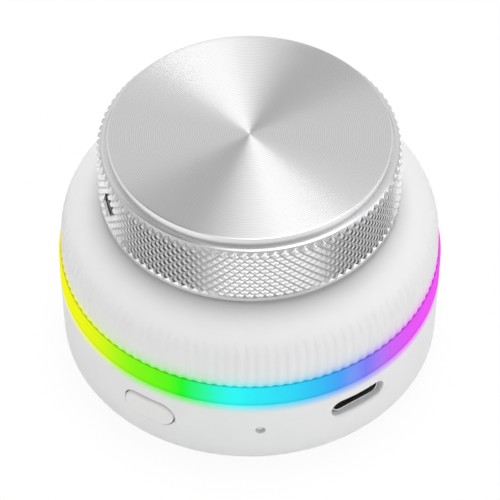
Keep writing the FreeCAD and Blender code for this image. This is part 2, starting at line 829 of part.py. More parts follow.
def link(label, top, turn, back):
    """Pin strip and socket that join the main board to the board above it."""
    body = new_body(label, BOARD_TOP, turn)
    height = top - BOARD_TOP
    width = S.link_pins * S.link_pitch
    low = sketch(body, "XY_Plane", "strip_outline")
    rectangle(low, width, S.link_block_depth, 0, -back)
    pad(low, S.link_block_height, "strip")
    pins = sketch(body, "XY_Plane", "pin_outline")
    rectangle(pins, S.link_pin, S.link_pin, S.link_pitch * 0.5 - width / 2, -back)
    pin_row = pad(pins, height, "pin")
    row = body.newObject("PartDesign::LinearPattern", "pins")
    row.Originals = [pin_row]
    axis = next(item for item in body.Origin.OriginFeatures if item.Role == "X_Axis")
    row.Direction = (axis, [""])
    bind(row, "Length", width - S.link_pitch)
    bind(row, "Occurrences", S.link_pins)
    body.Tip = row
    high = sketch(body, "XY_Plane", "socket_outline", height - S.link_block_height)
    rectangle(high, width, S.link_block_depth, 0, -back)
    pad(high, S.link_block_height, "socket")
    return body


# Encoder

def encoder_board():
    """Small round board screwed to the shell's posts."""
    body = new_body("encoder_board", ENCODER_BOARD)
    flat = sketch(body, "XY_Plane", "encoder_board_outline")
    circle(flat, S.encoder_board_radius)
    pad(flat, S.board_thickness, "board")
    hole = sketch(body, "XY_Plane", "post_hole_outline")
    circle(hole, S.board_screw_radius + S.screw_fit, 0, -S.post_circle)
    around([pocket(hole, S.board_thickness, "post_hole")], S.screw_count, "post_holes")
    return body


def encoder_board_screws():
    """Pan-head screws through the encoder board into the posts."""
    body = new_body("encoder_board_screws", ENCODER_BOARD)
    section = sketch(body, "XZ_Plane", "screw_section", S.post_circle)
    head = S.board_screw_head_radius
    outline(section, [(0, -S.board_screw_head_height), (head, -S.board_screw_head_height),
                      (head, 0), (S.board_screw_radius, 0),
                      (S.board_screw_radius, S.board_screw_length), (0, S.board_screw_length)])
    around([revolve(section, "screw")], S.screw_count, "screws")
    return body


def encoder_can():
    """Moulded case with a wide well for the rotor over a narrow one for the pusher."""
    body = new_body("encoder_can", ENCODER_BOARD_TOP)
    flat = sketch(body, "XY_Plane", "can_outline")
    rectangle(flat, S.encoder_side, S.encoder_side)
    pad(flat, S.can_height, "case")
    rotor_well = sketch(body, "XY_Plane", "rotor_well_outline", ROTOR - ENCODER_BOARD_TOP)
    circle(rotor_well, S.rotor_radius + S.well_fit)
    pocket(rotor_well, S.can_height, "rotor_well")
    pusher_well = sketch(body, "XY_Plane", "pusher_well_outline", S.can_floor)
    circle(pusher_well, S.pusher_radius + S.well_fit)
    pocket(pusher_well, S.can_height, "pusher_well")
    return body


def encoder_bushing():
    """Die-cast flange that closes the can, and the threaded neck that guides the shaft."""
    body = new_body("encoder_bushing", FLANGE)
    flange = sketch(body, "XY_Plane", "flange_outline")
    rectangle(flange, S.encoder_side, S.encoder_side)
    pad(flange, S.flange_thickness, "flange")
    neck = sketch(body, "XY_Plane", "neck_outline")
    circle(neck, S.bushing_radius)
    pad(neck, BUSHING_TOP - FLANGE, "neck")
    bore = sketch(body, "XY_Plane", "bore_outline")
    circle(bore, S.shaft_radius + S.shaft_fit)
    pocket(bore, BUSHING_TOP - FLANGE, "bore")
    return body


def encoder_bracket():
    """Bent strap over the flange, with a leg down each side of the can."""
    body = new_body("encoder_bracket", ENCODER_BOARD_TOP)
    inside = S.encoder_side / 2
    outside = inside + S.bracket_sheet
    under = BRACKET - ENCODER_BOARD_TOP
    over = CEILING - ENCODER_BOARD_TOP
    strap = sketch(body, "XZ_Plane", "strap_section", -S.bracket_width / 2)
    outline(strap, [(-outside, 0), (-inside, 0), (-inside, under), (inside, under), (inside, 0),
                    (outside, 0), (outside, over), (-outside, over)])
    pad(strap, S.bracket_width, "strap")
    hole = sketch(body, "XY_Plane", "neck_hole_outline", under)
    circle(hole, S.bushing_radius + S.bushing_fit)
    pocket(hole, S.bracket_sheet, "neck_hole")
    return body


def encoder_washer():
    """Washer between the shell's top and the nut."""
    body = new_body("encoder_washer", WASHER)
    flat = sketch(body, "XY_Plane", "washer_outline")
    circle(flat, S.washer_radius)
    circle(flat, S.bushing_radius + S.bushing_fit)
    pad(flat, S.washer_thickness, "washer")
    return body


def hexagon(flat, across):
    """Hexagon by its size across the flats."""
    corner = across / math.sqrt(3)
    turns = [math.radians(60 * number) for number in range(6)]
    return outline(flat, [(corner * math.cos(turn), corner * math.sin(turn)) for turn in turns])


def encoder_nut():
    """Hexagon nut that clamps the encoder's neck to the shell."""
    body = new_body("encoder_nut", NUT)
    flat = sketch(body, "XY_Plane", "nut_outline")
    hexagon(flat, S.nut_flats)
    circle(flat, S.bushing_radius)
    pad(flat, S.nut_thickness, "nut")
    return body


def press_dome():
    """Snap dome under the shaft, drawn as a thin cone with a flat crown."""
    body = new_body("press_dome", DOME)
    sheet = S.dome_sheet
    crown = S.dome_radius / 2
    section = sketch(body, "XZ_Plane", "dome_section")
    outline(section, [(S.dome_radius - sheet * 2, 0), (S.dome_radius, 0), (crown, S.dome_height),
                      (0, S.dome_height), (0, S.dome_height - sheet),
                      (crown - sheet, S.dome_height - sheet)])
    revolve(section, "dome")
    return body


def press_pusher():
    """Disc between the shaft's end and the dome."""
    body = new_body("press_pusher", PUSHER)
    flat = sketch(body, "XY_Plane", "pusher_outline")
    circle(flat, S.pusher_radius)
    pad(flat, S.pusher_thickness, "pusher")
    return body


def flatted(flat, radius, reach, both=False):
    """Circle with a flat towards -Y, or with two opposite flats."""
    lean = math.asin(float(reach) / float(radius))
    spans = [(-lean, lean), (math.pi - lean, math.pi + lean)] if both else [(-lean, math.pi + lean)]
    axis = Vector(0, 0, 1)
    whole = Part.Circle(Vector(0, 0, 0), axis, float(radius))
    for start, end in spans:
        flat.addGeometry(Part.ArcOfCircle(whole, start, end), False)
    count = len(spans)
    half = math.sqrt(float(radius) ** 2 - float(reach) ** 2)
    low = (Vector(-half, -float(reach), 0), Vector(half, -float(reach), 0))
    flat.addGeometry(Part.LineSegment(*low), False)
    joins = [(count - 1, 2, count, 1), (count, 2, 0, 1)]
    if both:
        high = (Vector(half, float(reach), 0), Vector(-half, float(reach), 0))
        flat.addGeometry(Part.LineSegment(*high), False)
        joins += [(0, 2, 3, 1), (3, 2, 1, 1)]
    for number in range(count):
        pin(flat, number, 3, 0.0, 0.0)
        rule = flat.addConstraint(Sketcher.Constraint("Radius", number, float(radius)))
        flat.setExpression(f"Constraints[{rule}]", text(radius))
    for a, a_end, b, b_end in joins:
        flat.addConstraint(Sketcher.Constraint("Coincident", a, a_end, b, b_end))
    for number, height in ((count, -reach), (count + 1, reach))[:count]:
        flat.addConstraint(Sketcher.Constraint("Horizontal", number))
        rule = flat.addConstraint(Sketcher.Constraint("DistanceY", -1, 1, number, 1, float(height)))
        flat.setExpression(f"Constraints[{rule}]", text(height))
    return flat


def encoder_rotor():
    """Contact wheel that the shaft turns but slides through."""
    body = new_body("encoder_rotor", ROTOR, S.grub_azimuth)
    flat = sketch(body, "XY_Plane", "rotor_outline")
    circle(flat, S.rotor_radius)
    pad(flat, S.rotor_thickness, "wheel")
    hole = sketch(body, "XY_Plane", "drive_outline")
    flatted(hole, S.neck_radius + S.shaft_fit, S.neck_flat + S.shaft_fit, both=True)
    pocket(hole, S.rotor_thickness, "drive")
    return body


def encoder_shaft():
    """Stepped shaft: two flats drive the rotor, a collar stops it, one flat seats the grub screw."""
    body = new_body("encoder_shaft", SHAFT_END, S.grub_azimuth)
    collar_low = COLLAR - SHAFT_END
    collar_high = FLANGE - SHAFT_END
    length = KNOB_UNDERSIDE - S.shaft_end_gap - SHAFT_END
    flat_low = HUB - SHAFT_END
    section = sketch(body, "XZ_Plane", "shaft_section")
    outline(section, [(0, 0), (S.neck_radius, 0), (S.neck_radius, collar_low),
                      (S.collar_radius, collar_low), (S.collar_radius, collar_high),
                      (S.shaft_radius, collar_high), (S.shaft_radius, length), (0, length)])
    revolve(section, "turned")
    sides = sketch(body, "XY_Plane", "neck_flat_outline")
    for side in (-1, 1):
        rectangle(sides, S.neck_radius * 3, S.neck_radius, 0,
                  (S.neck_flat + S.neck_radius / 2) * side)
    pocket(sides, collar_low, "neck_flats")
    key = sketch(body, "XY_Plane", "key_flat_outline", flat_low)
    rectangle(key, S.shaft_radius * 3, S.shaft_radius, 0, -(S.shaft_flat + S.shaft_radius / 2))
    pocket(key, length - flat_low, "key_flat")
    return body


# Knob

def knob_body():
    """Turned aluminium cap: raised face, groove, chamfered rim, deep cavity and central hub."""
    body = new_body("knob_body", KNOB)
    top = KNOB_TOP - KNOB
    ledge = S.knob_edge
    under = KNOB_UNDERSIDE - KNOB
    hub_low = HUB - KNOB
    rim = S.knob_radius - S.knob_wall
    groove = FACE_RADIUS + S.face_groove_width
    section = sketch(body, "XZ_Plane", "knob_section")
    outline(section, [(0, under), (S.insert_radius, under), (S.insert_radius, hub_low),
                      (S.hub_radius, hub_low), (S.hub_radius, under), (rim, under), (rim, 0),
                      (S.knob_radius, 0), (S.knob_radius, ledge - S.knob_chamfer),
                      (S.knob_radius - S.knob_chamfer, ledge), (groove, ledge),
                      (groove, ledge - S.face_groove_depth),
                      (FACE_RADIUS, ledge - S.face_groove_depth),
                      (FACE_RADIUS, top - S.face_chamfer),
                      (FACE_RADIUS - S.face_chamfer, top), (0, top)])
    revolve(section, "turned")
    key_hole = sketch(body, "XZ_Plane", "key_hole_outline", 0, S.grub_azimuth)
    circle(key_hole, S.grub_hole_radius, 0, S.grub_height)
    pocket(key_hole, S.knob_radius, "key_hole")
    return body


def knob_insert():
    """Brass bush pressed into the hub, bored to the shaft's D and tapped for the grub screw."""
    body = new_body("knob_insert", HUB, S.grub_azimuth)
    height = KNOB_UNDERSIDE - HUB
    flat = sketch(body, "XY_Plane", "insert_outline")
    circle(flat, S.insert_radius)
    pad(flat, height, "bush")
    bore = sketch(body, "XY_Plane", "bore_outline")
    flatted(bore, S.shaft_radius + S.insert_fit, S.shaft_flat + S.insert_fit)
    pocket(bore, height, "bore")
    tapped = sketch(body, "XZ_Plane", "tapped_outline")
    circle(tapped, S.grub_radius, 0, KNOB + S.grub_height - HUB)
    pocket(tapped, S.insert_radius, "tapped")
    return body


def grub_screw():
    """Headless screw with a hexagon socket, down on the shaft's flat."""
    body = new_body("grub_screw", KNOB + S.grub_height, S.grub_azimuth)
    tip = sketch(body, "XZ_Plane", "screw_outline", S.shaft_flat)
    circle(tip, S.grub_radius)
    pad(tip, S.insert_radius - S.shaft_flat, "screw")
    socket = sketch(body, "XZ_Plane", "socket_outline", S.insert_radius - S.grub_key_depth)
    hexagon(socket, S.grub_key * 2)
    pocket(socket, S.grub_key_depth, "socket")
    return body


def build():
    """Every node of the knob, from the desk upwards."""
    return [
        anti_slip_pad(), base_plate(), case_screws(), weight_plate(), lower_housing(),
        main_board(), controller_chip(), board_capacitors(), usb_c_shell(), usb_c_tongue(),
        status_led(), status_light_pipe(), mode_switch(), mode_plunger(), mode_button(),
        board_spacers(), ring_board(), ring_lights(), light_ring(), upper_shell(),
        link("light_link", RING_BOARD, S.light_link_azimuth, RING_BOARD_RADIUS - S.light_link_inset),
        link("encoder_link", ENCODER_BOARD, S.encoder_link_azimuth, S.encoder_link_back),
        encoder_board(), encoder_board_screws(), encoder_can(), encoder_bushing(),
        encoder_bracket(), encoder_washer(), encoder_nut(), press_dome(), press_pusher(),
        encoder_rotor(), encoder_shaft(), knob_body(), knob_insert(), grub_screw(),
    ]


def check(pieces):
    """Stop before anything is written if an object failed or a piece has no sound solid."""
    doc.recompute()
    for item in doc.Objects:
        if "Invalid" in item.State or "Error" in item.State:
            raise RuntimeError(f"{item.Label} did not recompute: {item.State}")
    for piece in pieces:
        if piece.Shape.isNull() or not piece.Shape.isValid() or not piece.Shape.Solids:
            raise RuntimeError(f"{piece.Label} has no valid solid")


def write(pieces):
    """One STEP file for each piece."""
    os.makedirs("parts", exist_ok=True)
    for piece in pieces:
        piece.Shape.exportStep(f"parts/{piece.Label}.step")


pieces = build()
check(pieces)
write(pieces)
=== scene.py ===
import bpy
import bmesh
import math
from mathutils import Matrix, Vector


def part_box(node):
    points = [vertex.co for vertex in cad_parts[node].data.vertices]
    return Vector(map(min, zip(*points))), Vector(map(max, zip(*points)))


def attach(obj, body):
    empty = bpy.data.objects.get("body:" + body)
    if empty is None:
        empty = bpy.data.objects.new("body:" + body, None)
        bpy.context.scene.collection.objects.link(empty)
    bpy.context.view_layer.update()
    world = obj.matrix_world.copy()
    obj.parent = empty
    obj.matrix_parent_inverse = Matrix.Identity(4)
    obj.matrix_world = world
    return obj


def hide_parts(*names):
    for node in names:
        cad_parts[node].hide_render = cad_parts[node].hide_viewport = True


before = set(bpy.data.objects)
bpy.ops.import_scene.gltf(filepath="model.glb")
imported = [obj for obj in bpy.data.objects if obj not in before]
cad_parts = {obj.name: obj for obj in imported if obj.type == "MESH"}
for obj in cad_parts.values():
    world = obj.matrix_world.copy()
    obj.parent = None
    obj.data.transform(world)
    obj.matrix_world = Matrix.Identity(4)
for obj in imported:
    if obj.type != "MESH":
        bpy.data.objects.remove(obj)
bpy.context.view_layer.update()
mm = 0.001  # sizes are in millimetres, and become metres where a mesh is built
print("frame loaded:", len(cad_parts), "nodes")


def level(node, top=False):
    low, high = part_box(node)
    return (high if top else low).z / mm


def arc(cx, cy, radius, start, end, steps):
    turns = [math.radians(start + (end - start) * n / steps) for n in range(steps + 1)]
    return [(cx + radius * math.cos(t), cy + radius * math.sin(t)) for t in turns]


def addObject(name, verts, faces, material, smooth=35):
    mesh = bpy.data.meshes.new(name)
    mesh.from_pydata([Vector(v) * mm for v in verts], [], faces)
    made = bpy.data.objects.new(name, mesh)
    bpy.context.scene.collection.objects.link(made)
    tidyMesh(made, smooth)
    mesh.materials.append(material)
    return made


def tidyMesh(made, smooth):
    edit = bmesh.new()
    edit.from_mesh(made.data)
    bmesh.ops.remove_doubles(edit, verts=edit.verts, dist=0.5e-6)
    bmesh.ops.recalc_face_normals(edit, faces=edit.faces)
    edit.to_mesh(made.data)
    edit.free()
    made.data.shade_smooth()
    made.data.set_sharp_from_angle(angle=math.radians(smooth))


def turned(name, outline, material, segments, smooth=35):
    # closed outline of (reach, height) points, spun about Z
    verts = []
    faces = []
    for n in range(segments):
        turn = 2 * math.pi * n / segments
        verts += [(r * math.sin(turn), -r * math.cos(turn), z) for r, z in outline]
    count = len(outline)
    for n in range(segments):
        here = n * count
        there = (n + 1) % segments * count
        for k in range(count):
            ahead = (k + 1) % count
            if outline[k][0] + outline[ahead][0] > 0:
                faces.append((here + k, here + ahead, there + ahead, there + k))
    return addObject(name, verts, faces, material, smooth)


def pillRing(width, height, grow, steps=12, sides=10):
    # points round a slot with half-round ends, grown outwards
    half = (width - height) / 2
    radius = max(height / 2 + grow, 0)
    ring = arc(half, 0, radius, -90, 90, steps)
    ring += [(half - 2 * half * n / sides, radius) for n in range(1, sides)]
    ring += arc(-half, 0, radius, 90, 270, steps)
    ring += [(-half + 2 * half * n / sides, -radius) for n in range(1, sides)]
    return ring


def onWall(azimuth, across, height, out):
    # a spot on the case: sideways, up, and out from the axis, facing an azimuth from the front
    turn = math.radians(azimuth)
    return (out * math.sin(turn) + across * math.cos(turn),
            across * math.sin(turn) - out * math.cos(turn), height)


def roundRing(azimuth, height, radius, out, steps):
    turns = [2 * math.pi * n / steps for n in range(steps)]
    return [onWall(azimuth, radius * math.cos(t), height + radius * math.sin(t), out) for t in turns]


def loft(name, rings, material, smooth=35, caps=(True, True)):
    # skin over a row of rings with as many points each
    count = len(rings[0])
    verts = [spot for ring in rings for spot in ring]
    faces = []
    for n in range(len(rings) - 1):
        for k in range(count):
            ahead = (k + 1) % count
            faces.append((n * count + k, n * count + ahead, (n + 1) * count + ahead, (n + 1) * count + k))
    if caps[0]:
        faces.append(tuple(range(count)))
    if caps[1]:
        last = (len(rings) - 1) * count
        faces.append(tuple(range(last, last + count)))
    return addObject(name, verts, faces, material, smooth)


def carve(made, cutters, smooth=35):
    for cutter in cutters:
        cut = made.modifiers.new("cut", "BOOLEAN")
        cut.operation = "DIFFERENCE"
        cut.solver = "EXACT"
        cut.object = cutter
    flatten(made)
    for cutter in cutters:
        bpy.data.objects.remove(cutter)
    tidyMesh(made, smooth)


def flatten(made):
    # the evaluated mesh takes the place of the modifiers
    made.update_tag()
    bpy.context.view_layer.update()
    graph = bpy.context.evaluated_depsgraph_get()
    mesh = bpy.data.meshes.new_from_object(made.evaluated_get(graph), preserve_all_data_layers=True,
                                           depsgraph=graph)
    made.modifiers.clear()
    made.data = mesh


def join(made, others):
    with bpy.context.temp_override(active_object=made, object=made,
                                   selected_editable_objects=[made] + others):
        bpy.ops.object.join()


def feed(tree, term, socket):
    if isinstance(term, bpy.types.NodeSocket):
        tree.links.new(term, socket)
    else:
        socket.default_value = term


def calc(tree, operation, *terms):
    node = tree.nodes.new("ShaderNodeMath")
    node.operation = operation
    for socket, term in zip(node.inputs, terms):
        feed(tree, term, socket)
    return node.outputs[0]


def ramp(tree, value, low, high, toLow=0.0, toHigh=1.0, kind="LINEAR"):
    node = tree.nodes.new("ShaderNodeMapRange")
    node.interpolation_type = kind
    for label, term in (("Value", value), ("From Min", low), ("From Max", high),
                        ("To Min", toLow), ("To Max", toHigh)):
        feed(tree, term, node.inputs[label])
    return node.outputs[0]


def geometryTree(name, inputs):
    # a new tree and its input sockets
    tree = bpy.data.node_groups.new(name, "GeometryNodeTree")
    tree.interface.new_socket("Geometry", in_out="INPUT", socket_type="NodeSocketGeometry")
    tree.interface.new_socket("Geometry", in_out="OUTPUT", socket_type="NodeSocketGeometry")
    for label, value in inputs.items():
        kind = "NodeSocketInt" if isinstance(value, int) else "NodeSocketFloat"
        tree.interface.new_socket(label, in_out="INPUT", socket_type=kind).default_value = value
    source = tree.nodes.new("NodeGroupInput")
    return tree, source.outputs


def closeTree(tree, geometry, material):
    # every tree ends alike: real geometry, and one material
    real = tree.nodes.new("GeometryNodeRealizeInstances")
    dress = tree.nodes.new("GeometryNodeSetMaterial")
    dress.inputs["Material"].default_value = material
    out = tree.nodes.new("NodeGroupOutput")
    tree.links.new(geometry, real.inputs[0])
    tree.links.new(real.outputs[0], dress.inputs[0])
    tree.links.new(dress.outputs[0], out.inputs[0])


def applyTree(made, tree, inputs):
    shape = made.modifiers.new(tree.name, "NODES")
    shape.node_group = tree
    for item in tree.interface.items_tree:
        if item.in_out == "INPUT" and item.name in inputs:
            shape[item.identifier] = inputs[item.name]
    flatten(made)


def newFinish(name, colour, rough, metal=0.0):
    material = bpy.data.materials.new(name)
    material.use_nodes = True
    tree = material.node_tree
    shader = tree.nodes["Principled BSDF"]
    shader.inputs["Base Color"].default_value = (*colour, 1)
    shader.inputs["Roughness"].default_value = rough
    shader.inputs["Metallic"].default_value = metal
    place = tree.nodes.new("ShaderNodeTexCoord").outputs["Object"]
    return material, tree, shader, place


def noise(tree, place, size, stretch=None):
    # noise with blotches of a size in millimetres
    if stretch:
        turn = tree.nodes.new("ShaderNodeMapping")
        turn.inputs["Scale"].default_value = stretch
        tree.links.new(place, turn.inputs["Vector"])
        place = turn.outputs[0]
    node = tree.nodes.new("ShaderNodeTexNoise")
    node.inputs["Scale"].default_value = 1 / (size * mm)
    tree.links.new(place, node.inputs["Vector"])
    return node.outputs[0]


def blendColours(tree, factor, first, second):
    node = tree.nodes.new("ShaderNodeMix")
    node.data_type = "RGBA"
    feed(tree, factor, node.inputs["Factor"])
    for socket, colour in ((node.inputs[6], first), (node.inputs[7], second)):
        feed(tree, (*colour, 1) if isinstance(colour, tuple) else colour, socket)
    return node.outputs[2]


def bump(tree, shader, height, strength, depth):
    node = tree.nodes.new("ShaderNodeBump")
    node.inputs["Strength"].default_value = strength
    node.inputs["Distance"].default_value = depth * mm
    tree.links.new(height, node.inputs["Height"])
    tree.links.new(node.outputs[0], shader.inputs["Normal"])


def grainParts(name, colour, rough, size, spread=0.06, metal=0.0, depth=0.01, stretch=None):
    # the common finish: fine grain in the relief, slower drift in colour and roughness
    material, tree, shader, place = newFinish(name, colour, rough, metal)
    fine = noise(tree, place, size, stretch=stretch)
    slow = noise(tree, place, size * 14)
    darker = tuple(c * (1 - spread) for c in colour)
    lighter = tuple(min(c * (1 + spread), 1) for c in colour)
    tree.links.new(blendColours(tree, slow, darker, lighter), shader.inputs["Base Color"])
    tree.links.new(ramp(tree, fine, 0.3, 0.7, rough * 0.9, rough * 1.1), shader.inputs["Roughness"])
    bump(tree, shader, fine, 0.5, depth)
    return material, tree, shader, place


def grainy(*terms, **options):
    return grainParts(*terms, **options)[0]


glow = {
    # hue in degrees against the share of a turn from the back, by way of -X, the front and +X
    "hues": ((0.0, 360), (0.29, 420), (0.345, 429), (0.40, 465), (0.435, 475), (0.46, 497), (0.49, 540),
             (0.54, 559), (0.57, 576), (0.60, 600), (0.65, 648), (0.72, 661), (1.0, 720)),
    "saturation": ((0.0, 0.9), (0.25, 0.99), (0.42, 0.995), (0.46, 0.975), (0.55, 0.97), (0.575, 0.93),
                   (0.60, 0.78), (0.63, 0.86), (0.66, 0.90), (1.0, 0.9)),
    "strength": 0.93,
    "cloudiness": 0.015,
    "footStrength": 0.84,   # the band is dimmer at its foot
    "footFade": 1.1,
    "ledgeShadowStrength": 0.6,   # and dimmer on the ledge under the shell's edge, a painted shadow of the gap there
    "ledgeReach": 30.74,
    "ledgeShadowWidth": 0.08,
    "housingGlowSpill": 0.8,    # share of the ring's colour painted on the wall at the seam, as painted glow spilled from the ring
    "housingGlowSpillFade": 2.1,
    "shellGlowSpill": 0.85,     # and painted on the shell at its own seam
    "shellGlowSpillFade": 0.95,
}


def splitPlace(tree, place):
    parts = tree.nodes.new("ShaderNodeSeparateXYZ")
    tree.links.new(place, parts.inputs[0])
    return parts.outputs


def outward(tree, parts):
    squares = [calc(tree, "POWER", side, 2.0) for side in parts[:2]]
    return calc(tree, "SQRT", calc(tree, "ADD", *squares))


def follow(tree, value, points):
    node = tree.nodes.new("ShaderNodeFloatCurve")
    spots = node.mapping.curves[0].points
    for n, point in enumerate(points):
        spot = spots[n] if n < 2 else spots.new(*point)
        spot.location = point
        spot.handle_type = "AUTO_CLAMPED"
    node.mapping.update()
    tree.links.new(value, node.inputs["Value"])
    return node.outputs[0]


def rainbow(tree, parts):
    turn = calc(tree, "ARCTAN2", parts[0], calc(tree, "MULTIPLY", parts[1], -1.0))
    share = calc(tree, "ADD", calc(tree, "DIVIDE", turn, 2 * math.pi), 0.5)
    mix = tree.nodes.new("ShaderNodeCombineColor")
    mix.mode = "HSV"
    hues = [(x, hue / 360 - 1) for x, hue in glow["hues"]]
    tree.links.new(follow(tree, share, hues), mix.inputs[0])
    tree.links.new(follow(tree, share, glow["saturation"]), mix.inputs[1])
    mix.inputs[2].default_value = 1.0
    return mix.outputs[0]


def paintGlowSpill(tree, shader, light, share):
    # painted light: the ring's glow is painted on the surface near the seam; the ring's colour takes the
    # place of the surface's, so the sum never clips
    own = shader.inputs["Base Color"].links[0].from_socket
    tree.links.new(blendColours(tree, share, own, (0.0, 0.0, 0.0)), shader.inputs["Base Color"])
    tree.links.new(light, shader.inputs["Emission Color"])
    tree.links.new(calc(tree, "MULTIPLY", share, glow["strength"]), shader.inputs["Emission Strength"])


def whitePlastic(name, colour):
    # sand-blasted white moulding
    material, tree, shader, place = grainParts(name, colour, 0.55, 0.16, 0.012, depth=0.006)
    shader.inputs["Specular IOR Level"].default_value = 0.35
    return material, tree, shader, place


def housingPlastic():
    material, tree, shader, place = whitePlastic("housingWhitePaintedGlow", (0.80, 0.80, 0.805))
    parts = splitPlace(tree, place)
    # painted light: the ring's glow on the wall, fading downwards from the seam
    gap = calc(tree, "SUBTRACT", housingTop * mm, parts[2])
    share = ramp(tree, gap, 0.0, glow["housingGlowSpillFade"] * mm, glow["housingGlowSpill"], 0.0, "SMOOTHSTEP")
    paintGlowSpill(tree, shader, rainbow(tree, parts), share)
    return material


def shellPlastic():
    material, tree, shader, place = whitePlastic("shellWhitePaintedGlow", (0.82, 0.82, 0.82))
    parts = splitPlace(tree, place)
    # painted light: the ring's glow on the shell, fading upwards from its edge
    gap = calc(tree, "MAXIMUM", calc(tree, "SUBTRACT", parts[2], shellBottom * mm), 0.0)
    fall = calc(tree, "EXPONENT", calc(tree, "DIVIDE", gap, -glow["shellGlowSpillFade"] * mm))
    paintGlowSpill(tree, shader, rainbow(tree, parts), calc(tree, "MULTIPLY", fall, glow["shellGlowSpill"]))
    return material


def diffuserFinish():
    material, tree, shader, place = newFinish("litDiffuser", (0.008, 0.008, 0.008), 0.4)
    shader.inputs["Specular IOR Level"].default_value = 0.0
    parts = splitPlace(tree, place)
    tree.links.new(rainbow(tree, parts), shader.inputs["Emission Color"])
    rise = calc(tree, "SUBTRACT", parts[2], housingTop * mm)
    fade = ramp(tree, rise, 0.0, glow["footFade"] * mm, glow["footStrength"], 1.0, "SMOOTHSTEP")
    # painted shadow: the ring's light is dimmed on the ledge under the shell's edge
    inner = glow["ledgeReach"] - glow["ledgeShadowWidth"]
    ledge = ramp(tree, outward(tree, parts), inner * mm, glow["ledgeReach"] * mm, glow["ledgeShadowStrength"], 1.0)
    dimmest = (1 - glow["cloudiness"]) * glow["strength"]
    cloudy = ramp(tree, noise(tree, place, 3.0), 0.3, 0.7, dimmest, glow["strength"])
    tree.links.new(calc(tree, "MULTIPLY", calc(tree, "MULTIPLY", fade, ledge), cloudy),
                   shader.inputs["Emission Strength"])
    bump(tree, shader, noise(tree, place, 0.3), 0.3, 0.01)
    return material


def spunMetal(name, grey, rough, anisotropy, pitch, depth, ringShade):
    # turned aluminium: fine rings round the axis, and gloss that spreads across them
    material, tree, shader, place = newFinish(name, (grey, grey, grey), rough, 1.0)
    shader.inputs["Anisotropic"].default_value = anisotropy
    shader.inputs["Anisotropic Rotation"].default_value = 0.25
    tangent = tree.nodes.new("ShaderNodeTangent")
    tangent.direction_type = "RADIAL"
    tangent.axis = "Z"
    tree.links.new(tangent.outputs[0], shader.inputs["Tangent"])
    parts = splitPlace(tree, place)
    path = calc(tree, "SUBTRACT", outward(tree, parts), parts[2])
    rings = calc(tree, "SINE", calc(tree, "MULTIPLY", path, 2 * math.pi / (pitch * mm)))
    bump(tree, shader, calc(tree, "MULTIPLY_ADD", rings, 0.5, 0.5), 1.0, depth)
    # painted shade: the metal's colour is darker in the rings' hollows and lighter on their crests
    tints = (1.0, 1.0, 1.008)
    dark = tuple(grey * (1 - ringShade) * tint for tint in tints)
    light = tuple(min(grey * (1 + ringShade) * tint, 1.0) for tint in tints)
    shade = blendColours(tree, calc(tree, "MULTIPLY_ADD", rings, 0.5, 0.5), dark, light)
    tree.links.new(shade, shader.inputs["Base Color"])
    return material


def rubberFinish():
    material, _, shader, _ = grainParts("padRubber", (0.028, 0.028, 0.03), 0.78, 0.25, 0.2, depth=0.03)
    shader.inputs["Specular IOR Level"].default_value = 0.3
    return material


def boardFinish(name, colour):
    # solder mask over a woven board
    material, _, shader, _ = grainParts(name, colour, 0.35, 0.5, 0.15, depth=0.01)
    shader.inputs["Coat Weight"].default_value = 0.4
    return material


ringLip = 1.0   # how far the ring's lips reach into the mouldings above and below it
housingTop = level("light_ring") + ringLip
shellBottom = level("light_ring", True) - ringLip

